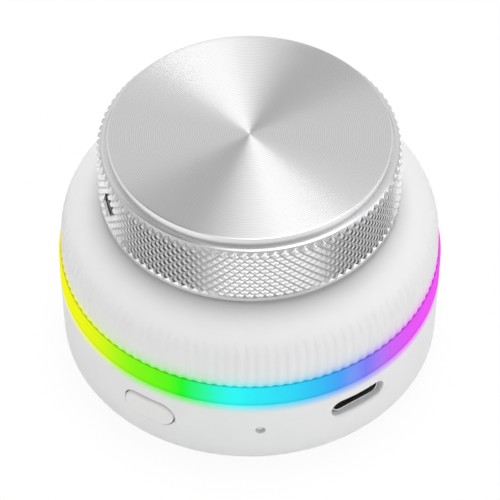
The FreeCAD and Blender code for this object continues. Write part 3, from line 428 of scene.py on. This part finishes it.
finishes = {
    "housing": housingPlastic(),
    "shell": shellPlastic(),
    "button": whitePlastic("buttonWhite", (0.805, 0.802, 0.797))[0],
    "diffuser": diffuserFinish(),
    "face": spunMetal("spunFace", 0.88, 0.40, 1.0, 0.34, 0.012, 0.09),
    "rim": spunMetal("turnedRim", 0.84, 0.30, 0.8, 0.22, 0.002, 0.01),
    "knurl": grainy("knurlMetal", (0.64, 0.64, 0.645), 0.22, 0.12, 0.05, 1.0, 0.004),
    "rubber": rubberFinish(),
    "steel": grainy("screwSteel", (0.46, 0.46, 0.47), 0.34, 0.3, 0.08, 1.0),
    "ballast": grainy("ballastSteel", (0.40, 0.40, 0.42), 0.42, 0.8, 0.12, 1.0),
    "basePlastic": grainy("basePlastic", (0.16, 0.16, 0.17), 0.6, 0.3, 0.1),
    "mainBoard": boardFinish("boardMask", (0.015, 0.10, 0.045)),
    "chip": grainy("chipEpoxy", (0.022, 0.022, 0.024), 0.55, 0.1, 0.2),
    "ceramic": grainy("capacitorCeramic", (0.36, 0.25, 0.15), 0.45, 0.1, 0.1),
    "inletSteel": grainy("inletSteel", (0.62, 0.62, 0.63), 0.22, 0.2, 0.05, 1.0, 0.004),
    "inletResin": grainy("inletResin", (0.02, 0.02, 0.021), 0.5, 0.15, 0.15),
    "gold": grainy("contactGold", (0.86, 0.62, 0.28), 0.25, 0.1, 0.05, 1.0),
    "ledResin": grainy("ledResin", (0.85, 0.84, 0.78), 0.35, 0.2, 0.04),
    "lightPipe": grainy("lightPipe", (0.70, 0.71, 0.72), 0.25, 0.2, 0.05),
    "switchResin": grainy("switchResin", (0.05, 0.05, 0.052), 0.5, 0.2, 0.15),
    "plungerResin": grainy("plungerResin", (0.75, 0.74, 0.70), 0.5, 0.2, 0.05),
    "nylon": grainy("spacerNylon", (0.70, 0.69, 0.65), 0.5, 0.3, 0.05),
    "headerResin": grainy("headerResin", (0.03, 0.03, 0.032), 0.5, 0.2, 0.15),
    "encoderResin": grainy("encoderResin", (0.04, 0.09, 0.16), 0.5, 0.2, 0.1),
    "dieCast": grainy("dieCast", (0.55, 0.55, 0.56), 0.36, 0.25, 0.08, 1.0),
    "strapSteel": grainy("strapSteel", (0.66, 0.66, 0.66), 0.28, 0.3, 0.06, 1.0, stretch=(1, 6, 1)),
    "springSteel": grainy("springSteel", (0.70, 0.69, 0.66), 0.22, 0.2, 0.05, 1.0),
    "pusherResin": grainy("pusherResin", (0.72, 0.71, 0.67), 0.5, 0.2, 0.05),
    "rotorResin": grainy("rotorResin", (0.62, 0.60, 0.55), 0.5, 0.2, 0.05),
    "brass": grainy("insertBrass", (0.72, 0.53, 0.26), 0.28, 0.2, 0.06, 1.0),
    "grubSteel": grainy("grubSteel", (0.10, 0.10, 0.105), 0.38, 0.15, 0.1, 1.0),
}
print("finishes made:", len(finishes))


view = {
    "spot": (0.0, -311.2, 360.1),
    "tilt": 48.0,           # down from the horizon
    "lens": 204.84,         # both in mm
    "sensor": 36,
    "imageSide": 500,
    "centreRow": 258.2,     # row and column of the image that look straight ahead
    "centreColumn": 249.8,
}


def addCamera():
    data = bpy.data.cameras.new("camera")
    data.lens = view["lens"]
    data.sensor_width = view["sensor"]
    side = view["imageSide"]
    data.shift_x = -(view["centreColumn"] - side / 2) / side
    data.shift_y = (view["centreRow"] - side / 2) / side
    data.clip_start = 0.01
    camera = bpy.data.objects.new("camera", data)
    camera.location = Vector(view["spot"]) * mm
    camera.rotation_euler = (math.radians(90 - view["tilt"]), 0, 0)
    bpy.context.scene.collection.objects.link(camera)
    bpy.context.scene.camera = camera


addCamera()


# the case's side wall, its three holes, and what sits in them
housing = {
    "radius": 31.0,
    "footRadius": 30.85,    # the wall leans in towards the foot
    "wall": 2.0,
    "segments": 320,
    "bottomRound": 1.3,
    "seamRound": 0.14,
    "holeRound": 0.22,
    "holeStart": 1.5,       # the holes' cutters start this far outside the wall
    "holeEnd": 25.0,        # and end this far from the axis
    "portAzimuth": 34.2,
    "portHole": (10.1, 3.6),
    "portHeight": 9.3,
    "portRound": 0.12,
    "portScoop": (0.7, 0.35),   # extra flare of the port's lower side, down and inwards
    "buttonAzimuth": -31.4,
    "buttonHeight": 8.15,
    "buttonSize": (8.9, 4.6),
    "buttonGap": 0.25,
    "buttonProud": 0.34,
    "buttonRound": 0.45,
    "buttonSeat": 28.4,
    "buttonFlange": 0.8,
    "statusAzimuth": 3.1,
    "statusHeight": 8.16,
    "statusRadius": 0.8,
    "statusRound": 0.1,
}


def housingReach(height):
    low = level("lower_housing")
    lean = (height - low) / (housingTop - low)
    return housing["footRadius"] + (housing["radius"] - housing["footRadius"]) * lean


def holeCutter(azimuth, height, size, edge, scoop=(0.0, 0.0)):
    # plug with a flared mouth, so the edge of its hole is rounded all along the curved wall
    rings = []
    for step in (None, 0, 15, 30, 45, 60, 75, 90):
        turn = math.radians(step or 0)
        grow = edge * (1 - math.sin(turn))
        ring = []
        for u, v in pillRing(*size, grow):
            low = max(0.0, -v / (size[1] / 2 + grow)) ** 1.5  # 1 at the lowest point, 0 above the middle
            v -= scoop[0] * (1 - math.sin(turn)) * low
            sunk = (edge + scoop[1] * low) * (1 - math.cos(turn))
            if step is None:
                sunk = -housing["holeStart"]
            out = math.sqrt(housingReach(height + v) ** 2 - u * u) - sunk
            ring.append(onWall(azimuth, u, height + v, out))
        rings.append(ring)
    rings.append([onWall(azimuth, u, height + v, housing["holeEnd"]) for u, v in pillRing(*size, 0)])
    return loft("cutter", rings, finishes["housing"])


def makeLowerHousing():
    low = level("lower_housing")
    bore = housing["radius"] - housing["wall"]
    big = housing["bottomRound"]
    small = housing["seamRound"]
    outline = [(bore, low)]
    outline += arc(housing["footRadius"] - big, low + big, big, -90, 0, 10)
    outline += [(housingReach(low + n), low + n) for n in (3.0, 6.0, 9.0, 12.0)]
    outline += arc(housing["radius"] - small, housingTop - small, small, 0, 90, 4)
    outline += [(bore, housingTop)]
    made = turned("lowerHousing", outline, finishes["housing"], housing["segments"])
    across = housing["statusRadius"] * 2
    status = (across + 0.002, across)  # a hair wider than tall, so the slot's sides don't vanish
    button = tuple(side + 2 * housing["buttonGap"] for side in housing["buttonSize"])
    carve(made, [
        holeCutter(housing["portAzimuth"], housing["portHeight"], housing["portHole"],
                   housing["portRound"], housing["portScoop"]),
        holeCutter(housing["buttonAzimuth"], housing["buttonHeight"], button, housing["holeRound"]),
        holeCutter(housing["statusAzimuth"], housing["statusHeight"], status, housing["statusRound"]),
    ], 30)
    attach(made, "case")
    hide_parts("lower_housing")


makeLowerHousing()
print("lower housing done")


def makeModeButton():
    height = housing["buttonHeight"]
    edge = housing["buttonRound"]
    face = housingReach(height) + housing["buttonProud"]
    rings = []
    width, tall = housing["buttonSize"]
    inner = [-tall * share for share in (0.5, 0.4, 0.28, 0.16)]
    rounded = [(-edge + edge * math.sin(math.radians(t)), edge - edge * math.cos(math.radians(t)))
               for t in range(0, 91, 15)]
    for grow, sunk in [(grow, 0.0) for grow in inner] + rounded:
        rings.append([onWall(housing["buttonAzimuth"], u, height + v, math.sqrt(face ** 2 - u * u) - sunk)
                      for u, v in pillRing(width, tall, grow)])
    seat = housing["buttonSeat"]
    flange = housing["buttonFlange"]
    for grow, out in ((0, seat), (flange, seat), (flange, seat - flange), (-1.2, seat - flange)):
        rings.append([onWall(housing["buttonAzimuth"], u, height + v, out)
                      for u, v in pillRing(width, tall, grow)])
    made = loft("modeButton", rings, finishes["button"], 40, (False, True))
    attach(made, "button")
    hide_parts("mode_button")


makeModeButton()


def makeStatusWindow():
    low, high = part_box("status_light_pipe")
    front = -low.y / mm
    back = -high.y / mm
    radius = housing["statusRadius"] - 0.02
    dome = ((0, 0), (0.5, 0.05), (0.85, 0.16), (1, 0.35))  # share of the radius, and how far back
    profile = [(radius * share, front - drop) for share, drop in dome]
    profile += [(radius, back), (0, back)]
    rings = [roundRing(housing["statusAzimuth"], housing["statusHeight"], r, out, 32) for r, out in profile]
    made = loft("statusWindow", rings, finishes["lightPipe"], 50, (False, False))
    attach(made, "case")
    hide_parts("status_light_pipe")


makeStatusWindow()


inlet = {
    "mouth": 29.85,
    "back": 21.7,
    "rootLength": 1.6,      # of the insulator that fills the back of the shell
    "rootGap": 0.02,
    "shellSize": (8.94, 3.26),
    "wall": 0.3,
    "lip": 0.12,
    "tongueSize": (6.69, 0.7),
    "tongueSetback": 0.5,
    "tongueNose": ((0.175, 0), (0.1, 0.15), (0, 0.4)),  # how much slimmer, and how far from the tip
    "contacts": 12,
    "contactPitch": 0.5,
    "contactSetback": 0.45,
    "contactSize": (0.27, 2.6, 0.05),
}


def inletRing(size, grow, out):
    return [onWall(housing["portAzimuth"], u, housing["portHeight"] + v, out)
            for u, v in pillRing(*size, grow)]


def makeInletShell():
    front = inlet["mouth"]
    back = inlet["back"]
    wall = inlet["wall"]
    lip = []
    for t in range(0, 181, 20):
        turn = math.radians(t)
        lip.append((-wall / 2 + wall / 2 * math.cos(turn), front - inlet["lip"] * (1 - math.sin(turn))))
    section = [(0, back)] + lip + [(-wall, back + inlet["rootLength"]), (-wall, back)]
    rings = [inletRing(inlet["shellSize"], grow, out) for grow, out in section]
    rings.append(rings[0])
    made = loft("inletShell", rings, finishes["inletSteel"], 40, (False, False))
    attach(made, "case")
    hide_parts("usb_c_shell")


def contactTree(inputs):
    # one row of bars on each side of the tongue
    tree, given = geometryTree("contactRows", inputs)
    rows = tree.nodes.new("GeometryNodeMeshGrid")
    span = calc(tree, "MULTIPLY", calc(tree, "SUBTRACT", given["Contacts"], 1.0), given["Pitch"])
    feed(tree, span, rows.inputs["Size X"])
    feed(tree, calc(tree, "MULTIPLY", given["Half Tongue"], 2.0), rows.inputs["Size Y"])
    feed(tree, given["Contacts"], rows.inputs["Vertices X"])
    rows.inputs["Vertices Y"].default_value = 2
    bar = tree.nodes.new("GeometryNodeMeshCube")
    size = tree.nodes.new("ShaderNodeCombineXYZ")
    for socket, label in zip(size.inputs, ("Width", "Thickness", "Length")):
        feed(tree, given[label], socket)
    tree.links.new(size.outputs[0], bar.inputs["Size"])
    spread = tree.nodes.new("GeometryNodeInstanceOnPoints")
    tree.links.new(rows.outputs["Mesh"], spread.inputs["Points"])
    tree.links.new(bar.outputs["Mesh"], spread.inputs["Instance"])
    closeTree(tree, spread.outputs[0], finishes["gold"])
    return tree


def makeInletTongue():
    front = inlet["mouth"] - inlet["tongueSetback"]
    back = inlet["back"]
    size = inlet["tongueSize"]
    root = tuple(side - 2 * inlet["wall"] - inlet["rootGap"] for side in inlet["shellSize"])
    step = back + inlet["rootLength"]
    rings = [inletRing(size, -slimmer, front - depth) for slimmer, depth in inlet["tongueNose"]]
    rings += [inletRing(size, 0, step), inletRing(root, 0, step), inletRing(root, 0, back)]
    made = loft("inletTongue", rings, finishes["inletResin"], 40)
    bars = addObject("contacts", [(0, 0, 0), (1, 0, 0), (0, 1, 0)], [(0, 1, 2)], finishes["gold"])
    width, length, thickness = inlet["contactSize"]
    sizes = {"Contacts": inlet["contacts"], "Pitch": inlet["contactPitch"] * mm, "Width": width * mm,
             "Length": length * mm, "Thickness": thickness * mm, "Half Tongue": size[1] / 2 * mm}
    applyTree(bars, contactTree(sizes), sizes)
    middle = front - inlet["contactSetback"] - length / 2
    for spot in bars.data.vertices:
        across, up, along = spot.co / mm
        place = onWall(housing["portAzimuth"], across, housing["portHeight"] + up, middle + along)
        spot.co = Vector(place) * mm
    tidyMesh(bars, 30)
    join(made, [bars])
    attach(made, "case")
    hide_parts("usb_c_tongue")


makeInletShell()
makeInletTongue()
print("button, window and inlet done")


lightBand = {
    "thickness": 3.6,
    "lowSeat": 28.9,        # reach of the lip that goes down into the housing
    "highSeat": 28.5,       # and of the one that goes up into the shell
    "edgeRound": 0.16,
}


def makeLightRing():
    low = housingTop
    high = shellBottom
    lip = level("light_ring")
    top = level("light_ring", True)
    outer = housing["radius"]
    bore = outer - lightBand["thickness"]
    small = lightBand["edgeRound"]
    outline = [(bore, lip), (lightBand["lowSeat"], lip), (lightBand["lowSeat"], low)]
    outline += arc(outer - small, low + small, small, -90, 0, 4)
    outline += arc(outer - small, high - small, small, 0, 90, 4)
    outline += [(lightBand["highSeat"], high), (lightBand["highSeat"], top), (bore, top)]
    made = turned("lightRing", outline, finishes["diffuser"], housing["segments"])
    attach(made, "case")
    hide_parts("light_ring")


makeLightRing()


# round-shouldered shell, with flutes that run out up the shoulder
shell = {
    "radius": 30.6,
    "topRadius": 30.1,
    "wall": 2.0,
    "ceiling": 2.2,
    "shoulder": 7.75,
    "bore": 3.6,
    "edgeRound": 0.12,
    "flutes": 120,
    "fluteDepth": 0.2,
    "runOut": 36.0,         # angle up the shoulder where the flutes end
    "perFlute": 12,         # segments of the wall to a flute
    "skin": 0.9,            # what lies this near the outside is fluted
    "skinFrom": 20.0,       # but nothing nearer to the axis
}


def fluteTree(inputs):
    # sinks the marked skin towards the axis along repeated round-bottomed flutes
    tree, given = geometryTree("fluteCutter", inputs)
    spot = tree.nodes.new("GeometryNodeInputPosition")
    parts = tree.nodes.new("ShaderNodeSeparateXYZ")
    tree.links.new(spot.outputs[0], parts.inputs[0])
    x, y, z = parts.outputs
    turn = calc(tree, "ARCTAN2", y, x)
    wave = calc(tree, "COSINE", calc(tree, "MULTIPLY", turn, given["Flutes"]))
    hollow = calc(tree, "MULTIPLY_ADD", wave, -0.5, 0.5)
    climb = calc(tree, "DIVIDE", calc(tree, "SUBTRACT", z, given["Shoulder Height"]), given["Shoulder"])
    angle = calc(tree, "ARCSINE", calc(tree, "MINIMUM", calc(tree, "MAXIMUM", climb, 0.0), 1.0))
    lift = calc(tree, "POWER", ramp(tree, angle, 0.0, given["Run-out"]), 4.0)
    cut = calc(tree, "MAXIMUM", calc(tree, "SUBTRACT", hollow, lift), 0.0)
    skin = tree.nodes.new("GeometryNodeInputNamedAttribute")
    skin.data_type = "FLOAT"
    skin.inputs["Name"].default_value = "skin"
    sunk = calc(tree, "MULTIPLY", calc(tree, "MULTIPLY", cut, given["Depth"]), skin.outputs["Attribute"])
    inward = calc(tree, "MULTIPLY", calc(tree, "MULTIPLY", sunk, calc(tree, "COSINE", angle)), -1.0)
    down = calc(tree, "MULTIPLY", calc(tree, "MULTIPLY", sunk, calc(tree, "SINE", angle)), -1.0)
    out = calc(tree, "SQRT", calc(tree, "ADD", calc(tree, "POWER", x, 2.0), calc(tree, "POWER", y, 2.0)))
    shift = tree.nodes.new("ShaderNodeCombineXYZ")
    for socket, side in zip(shift.inputs, (x, y)):
        feed(tree, calc(tree, "MULTIPLY", calc(tree, "DIVIDE", side, out), inward), socket)
    feed(tree, down, shift.inputs[2])
    move = tree.nodes.new("GeometryNodeSetPosition")
    tree.links.new(given["Geometry"], move.inputs["Geometry"])
    tree.links.new(shift.outputs[0], move.inputs["Offset"])
    closeTree(tree, move.outputs[0], finishes["shell"])
    return tree


def makeUpperShell():
    low = shellBottom
    high = level("upper_shell", True)
    bend = shell["shoulder"]
    start = high - bend
    small = shell["edgeRound"]
    top = shell["topRadius"]
    lean = (shell["radius"] - top) / (high - low)
    climb = (start - low) / 6
    skin = arc(shell["radius"] - small, low + small, small, -90, 0, 3)
    skin += [(shell["radius"] - lean * climb * n, low + climb * n) for n in range(1, 6)]
    edge = shell["radius"] - lean * (start - low)
    skin += arc(edge - bend, start, bend, 0, 90, 30)
    lining = [(shell["bore"], high), (shell["bore"], high - shell["ceiling"])]
    inner = bend - shell["ceiling"]
    innerEdge = edge - shell["wall"]
    lining += arc(innerEdge - inner, high - shell["ceiling"] - inner, inner, 90, 0, 8)
    lining += [(shell["radius"] - shell["wall"], low)]
    made = turned("upperShell", skin + lining, finishes["shell"], shell["flutes"] * shell["perFlute"], 25)
    marks = made.data.attributes.new("skin", "FLOAT", "POINT")
    for spot in made.data.vertices:
        x, y, z = spot.co
        out = math.hypot(x, y)
        rise = max(0.0, z / mm - start) / bend
        skinReach = edge - bend + bend * math.sqrt(max(0.0, 1 - rise * rise))
        inside = max(skinReach - shell["skin"], shell["skinFrom"])
        marks.data[spot.index].value = 1.0 if out > inside * mm else 0.0
    sizes = {"Flutes": shell["flutes"], "Depth": shell["fluteDepth"] * mm, "Shoulder": bend * mm,
             "Shoulder Height": start * mm, "Run-out": math.radians(shell["runOut"])}
    applyTree(made, fluteTree(sizes), sizes)
    made.data.shade_smooth()
    made.data.set_sharp_from_angle(angle=math.radians(40))
    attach(made, "case")
    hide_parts("upper_shell")


makeUpperShell()
print("light ring and fluted shell done")


# knurled knob: a raised spun face, a groove round it, and a sloping lip
knob = {
    "radius": 23.8,
    "segments": 384,
    "faceRadius": 22.3,
    "faceRings": 24,
    "faceChamfer": 0.25,
    "grooveWidth": 0.5,
    "grooveDepth": 0.25,
    "rise": 1.5,            # of the face above the ledge
    "rimChamfer": 0.5,
    "lipFlat": 0.28,        # the lip is flat for this far, and then slopes
    "lipFall": 0.08,
    "drumFall": 0.2,        # the drum ends this far under the lip's flat
    "bottomRound": 0.15,
    "wall": 3.2,
    "hubRadius": 7.6,
    "boreRadius": 5.0,
    "plainEdge": 0.75,      # height of the plain band under the knurl
    "knurlRunOut": 0.55,
    "firstRow": 0.35,       # height of the first row over the plain band, in studs
    "studsAround": 96,
    "studHeight": 1.58,
    "studDepth": 0.42,
    "crest": 0.45,          # share of a stud that its flat top keeps
    "grubAzimuth": -68.0,
    "grubHeight": 6.0,
    "grubRadius": 1.9,
    "grubLand": 0.1,        # studs nearer to the hole than this are left out
}


def studTree(inputs):
    # rows of diamond studs round a drum, each row half a stud on from the last
    tree, given = geometryTree("diamondKnurl", inputs)
    spots = tree.nodes.new("GeometryNodePoints")
    feed(tree, calc(tree, "MULTIPLY", given["Around"], given["Rows"]), spots.inputs["Count"])
    number = tree.nodes.new("GeometryNodeInputIndex").outputs[0]
    row = calc(tree, "FLOOR", calc(tree, "DIVIDE", calc(tree, "ADD", number, 0.5), given["Around"]))
    column = calc(tree, "SUBTRACT", number, calc(tree, "MULTIPLY", row, given["Around"]))
    shift = calc(tree, "MULTIPLY", calc(tree, "MODULO", row, 2.0), 0.5)
    pitch = calc(tree, "DIVIDE", 2 * math.pi, given["Around"])
    turn = calc(tree, "MULTIPLY", calc(tree, "ADD", column, shift), pitch)
    place = tree.nodes.new("ShaderNodeCombineXYZ")
    feed(tree, calc(tree, "MULTIPLY", calc(tree, "COSINE", turn), given["Drum Reach"]), place.inputs[0])
    feed(tree, calc(tree, "MULTIPLY", calc(tree, "SINE", turn), given["Drum Reach"]), place.inputs[1])
    halfStep = calc(tree, "MULTIPLY", given["Stud Height"], 0.5)
    feed(tree, calc(tree, "MULTIPLY_ADD", row, halfStep, given["First Row"]), place.inputs[2])
    tree.links.new(place.outputs[0], spots.inputs["Position"])
    stud = tree.nodes.new("GeometryNodeMeshCone")
    stud.inputs["Vertices"].default_value = 4
    feed(tree, given["Crest"], stud.inputs["Radius Top"])
    stud.inputs["Radius Bottom"].default_value = 1.0
    feed(tree, 1.0, stud.inputs["Depth"])
    face = tree.nodes.new("ShaderNodeCombineXYZ")  # the cone's axis, up, laid over to point outwards
    face.inputs[1].default_value = math.pi / 2
    tree.links.new(turn, face.inputs[2])
    size = tree.nodes.new("ShaderNodeCombineXYZ")
    feed(tree, halfStep, size.inputs[0])
    halfWidth = calc(tree, "MULTIPLY", calc(tree, "MULTIPLY", pitch, 0.5), given["Drum Reach"])
    feed(tree, halfWidth, size.inputs[1])
    feed(tree, given["Depth"], size.inputs[2])
    spread = tree.nodes.new("GeometryNodeInstanceOnPoints")
    tree.links.new(spots.outputs[0], spread.inputs["Points"])
    tree.links.new(stud.outputs["Mesh"], spread.inputs["Instance"])
    tree.links.new(face.outputs[0], spread.inputs["Rotation"])
    tree.links.new(size.outputs[0], spread.inputs["Scale"])
    closeTree(tree, spread.outputs[0], finishes["knurl"])
    return tree


def knobOutline(low, high, ledge):
    under = level("knob_insert", True)
    hub = level("knob_insert")
    outer = knob["radius"]
    drum = outer - knob["studDepth"]
    face = knob["faceRadius"]
    chamfer = knob["faceChamfer"]
    groove = face + knob["grooveWidth"]
    crown = outer - knob["rimChamfer"]
    plain = low + knob["plainEdge"]
    rim = outer - knob["wall"]
    bottom = knob["bottomRound"]
    floor = ledge - knob["grooveDepth"]
    rings = knob["faceRings"]
    outline = [(face * n / rings, high) for n in range(rings)]
    outline += [(face - chamfer, high), (face - chamfer * 0.3, high - chamfer * 0.25)]
    outline += [(face, high - chamfer)]
    outline += [(face, floor), (groove, floor), (groove, ledge), (groove + knob["lipFlat"], ledge)]
    outline += [(crown, ledge - knob["lipFall"]), (drum, ledge - knob["drumFall"])]
    outline += [(drum, plain + knob["knurlRunOut"]), (outer, plain)]
    outline += arc(outer - bottom, low + bottom, bottom, 0, -90, 5)
    outline += [(rim, low), (rim, under), (knob["hubRadius"], under), (knob["hubRadius"], hub),
                (knob["boreRadius"], hub), (knob["boreRadius"], under), (0, under)]
    return outline


def grubSpot(spot, low):
    # sideways and upwards from the axis of the grub screw's hole
    turn = math.radians(knob["grubAzimuth"])
    return (spot.x * math.cos(turn) + spot.y * math.sin(turn), spot.z - low - knob["grubHeight"],
            spot.x * math.sin(turn) - spot.y * math.cos(turn))


def trimStuds(studs, low, ledge):
    # the rim's chamfer cuts the top row, and the grub screw's hole leaves a clean edge
    hole = knob["grubRadius"]
    top = ledge - knob["lipFall"]
    crown = knob["radius"] - knob["rimChamfer"]
    edit = bmesh.new()
    edit.from_mesh(studs.data)
    spots = list(edit.verts)
    lost = []
    for start in range(0, len(spots), 8):  # eight vertices to a stud
        stud = spots[start:start + 8]
        across, up, depth = grubSpot(sum((spot.co for spot in stud), Vector()) / 8 / mm, low)
        if depth > 0 and math.hypot(across, up) < hole + knob["grubLand"]:
            lost += stud
            continue
        for spot in stud:
            place = spot.co / mm
            place.z = min(place.z, top - 0.03)
            out = math.hypot(place.x, place.y)
            keep = min(1.0, (crown + top - place.z) / out)
            place.x *= keep
            place.y *= keep
            across, up, depth = grubSpot(place, low)
            away = math.hypot(across, up)
            if depth > 0 and away < hole:
                place = Vector(onWall(knob["grubAzimuth"], across * hole / away,
                                      low + knob["grubHeight"] + up * hole / away, depth))
            spot.co = place * mm
    bmesh.ops.delete(edit, geom=lost, context="VERTS")
    edit.to_mesh(studs.data)
    edit.free()


def makeKnob():
    low = level("knob_body")
    high = level("knob_body", True)
    ledge = high - knob["rise"]
    made = turned("knobBody", knobOutline(low, high, ledge), finishes["rim"], knob["segments"], 25)
    made.data.materials.append(finishes["face"])
    spun = knob["faceRadius"] - knob["faceChamfer"]
    for flat in made.data.polygons:
        spot = flat.center / mm
        if spot.z > high - 0.01 and math.hypot(spot.x, spot.y) < spun:
            flat.material_index = 1
    ends = (knob["radius"] + 1.2, knob["boreRadius"] - 1)  # the hole goes through to the bore
    height = low + knob["grubHeight"]
    rings = [roundRing(knob["grubAzimuth"], height, knob["grubRadius"], out, 40) for out in ends]
    carve(made, [loft("cutter", rings, finishes["rim"])], 25)
    studs = addObject("knobKnurl", [(0, 0, 0), (1, 0, 0), (0, 1, 0)], [(0, 1, 2)], finishes["knurl"])
    first = low + knob["plainEdge"] + knob["studHeight"] * knob["firstRow"]
    rows = math.ceil((ledge - first) / (knob["studHeight"] / 2)) + 1
    drum = knob["radius"] - knob["studDepth"] / 2
    sizes = {"Around": knob["studsAround"], "Rows": rows, "Stud Height": knob["studHeight"] * mm,
             "Depth": knob["studDepth"] * mm, "Crest": knob["crest"], "Drum Reach": drum * mm,
             "First Row": first * mm}
    applyTree(studs, studTree(sizes), sizes)
    trimStuds(studs, low, ledge)
    for piece in (made, studs):
        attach(piece, "knob")
        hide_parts("knob_body")


makeKnob()
print("knob done")


# pieces that keep their own shape, and their finishes
kept = {
    "anti_slip_pad": "rubber", "base_plate": "basePlastic", "case_screws": "steel",
    "weight_plate": "ballast", "main_board": "mainBoard", "controller_chip": "chip",
    "board_capacitors": "ceramic", "status_led": "ledResin", "mode_switch": "switchResin",
    "mode_plunger": "plungerResin", "board_spacers": "nylon", "ring_board": "mainBoard",
    "ring_lights": "ledResin", "light_link": "headerResin", "encoder_link": "headerResin",
    "encoder_board": "mainBoard", "encoder_board_screws": "steel", "encoder_can": "encoderResin",
    "encoder_bushing": "dieCast", "encoder_bracket": "strapSteel", "encoder_washer": "steel",
    "encoder_nut": "steel", "press_dome": "springSteel", "press_pusher": "pusherResin",
    "encoder_rotor": "rotorResin", "encoder_shaft": "dieCast", "knob_insert": "brass",
    "grub_screw": "grubSteel",
}
for node, finish in kept.items():
    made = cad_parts[node]
    made.data.materials.clear()
    made.data.materials.append(finishes[finish])
print("kept nodes dressed:", len(kept))


studio = {
    "paper": 0.95,
    "floorHalf": 3000,
    "floorShadow": 0.08,    # share of the floor's white that shadows can darken
    "sky": 0.455,
    "glossSky": 0.76,       # what the metal reflects, before the cards
    "flatten": 1.6,         # cards are wider than tall
    # azimuth and height of each card in degrees, where it fades from and ends, and its strength
    "cards": ((78, 8, 26, 36, 2.4), (-52, 8, 28, 36, 2.1), (10, 10, 30, 38, 0.12), (-105, 80, 13, 22, 0.2)),
    "aim": (0, 0, 20),
    # place, size, watts, and whether the metal mirrors it
    "lamps": {
        "fanBox": ((84, 132, 700), (330, 350), 0.87, True),
        "topFill": ((10, 130, 700), (240, 240), 1.75, False),
        "leftFill": ((-540, -60, 380), (300, 320), 0.5, False),
        "rightFill": ((580, -260, 300), (360, 300), 0.68, False),
        "frontFill": ((60, -700, 110), (400, 150), 0.7, False),
    },
}


def rayMask(tree, labels):
    # 1 for the kinds of ray that are named
    rays = tree.nodes.new("ShaderNodeLightPath")
    mask = rays.outputs[labels[0]]
    for label in labels[1:]:
        mask = calc(tree, "MAXIMUM", mask, rays.outputs[label])
    return mask


def addFloor():
    material = bpy.data.materials.new("floorPaper")
    material.use_nodes = True
    tree = material.node_tree
    tree.nodes.clear()
    paper = tree.nodes.new("ShaderNodeBsdfDiffuse")
    paper.inputs["Color"].default_value = (*[studio["paper"]] * 3, 1)
    white = tree.nodes.new("ShaderNodeEmission")
    mask = calc(tree, "MULTIPLY", rayMask(tree, ("Is Camera Ray", "Is Glossy Ray", "Is Transmission Ray")),
                1 - studio["floorShadow"])
    mix = tree.nodes.new("ShaderNodeMixShader")
    out = tree.nodes.new("ShaderNodeOutputMaterial")
    tree.links.new(mask, mix.inputs[0])
    tree.links.new(paper.outputs[0], mix.inputs[1])
    tree.links.new(white.outputs[0], mix.inputs[2])
    tree.links.new(mix.outputs[0], out.inputs[0])
    half = studio["floorHalf"]
    corners = [(-half, -half, 0), (half, -half, 0), (half, half, 0), (-half, half, 0)]
    floor = addObject("floor", corners, [(0, 1, 2, 3)], material)


def addLamp(name, spot, size, watts, glossy):
    data = bpy.data.lights.new(name, "AREA")
    data.shape = "RECTANGLE"
    data.size = size[0] * mm
    data.size_y = size[1] * mm
    data.energy = watts
    lamp = bpy.data.objects.new(name, data)
    lamp.location = Vector(spot) * mm
    lamp.rotation_euler = (Vector(studio["aim"]) - Vector(spot)).to_track_quat("-Z", "Y").to_euler()
    lamp.visible_glossy = glossy
    bpy.context.scene.collection.objects.link(lamp)


def addWorld():
    world = bpy.data.worlds.new("studio")
    bpy.context.scene.world = world
    world.use_nodes = True
    tree = world.node_tree
    tree.nodes.clear()
    way = tree.nodes.new("ShaderNodeTexCoord").outputs["Generated"]
    squash = tree.nodes.new("ShaderNodeVectorMath")
    squash.operation = "MULTIPLY"
    squash.inputs[1].default_value = (1, 1, studio["flatten"])
    unit = tree.nodes.new("ShaderNodeVectorMath")
    unit.operation = "NORMALIZE"
    tree.links.new(way, squash.inputs[0])
    tree.links.new(squash.outputs[0], unit.inputs[0])
    gloss = studio["glossSky"]
    for azimuth, rise, inner, outer, strength in studio["cards"]:
        near = tree.nodes.new("ShaderNodeVectorMath")
        near.operation = "DOT_PRODUCT"
        tree.links.new(unit.outputs[0], near.inputs[0])
        lift = math.radians(rise)
        near.inputs[1].default_value = onWall(azimuth, 0, math.sin(lift), math.cos(lift))
        edges = [math.cos(math.radians(angle)) for angle in (outer, inner)]
        card = ramp(tree, near.outputs["Value"], *edges, 1.0, strength, "SMOOTHSTEP")
        gloss = calc(tree, "MULTIPLY", gloss, card)
    sky = ramp(tree, rayMask(tree, ("Is Glossy Ray",)), 0.0, 1.0, studio["sky"], gloss)
    room = tree.nodes.new("ShaderNodeBackground")
    tree.links.new(sky, room.inputs["Strength"])
    white = tree.nodes.new("ShaderNodeBackground")
    for shade in (room, white):
        shade.inputs["Color"].default_value = (1, 1, 1, 1)
    mix = tree.nodes.new("ShaderNodeMixShader")
    out = tree.nodes.new("ShaderNodeOutputWorld")
    tree.links.new(rayMask(tree, ("Is Camera Ray", "Is Transmission Ray")), mix.inputs[0])
    tree.links.new(room.outputs[0], mix.inputs[1])
    tree.links.new(white.outputs[0], mix.inputs[2])
    tree.links.new(mix.outputs[0], out.inputs[0])


addFloor()
addWorld()
for name, lamp in studio["lamps"].items():
    addLamp(name, *lamp)
bpy.context.scene.view_settings.view_transform = "Standard"
print("studio done")
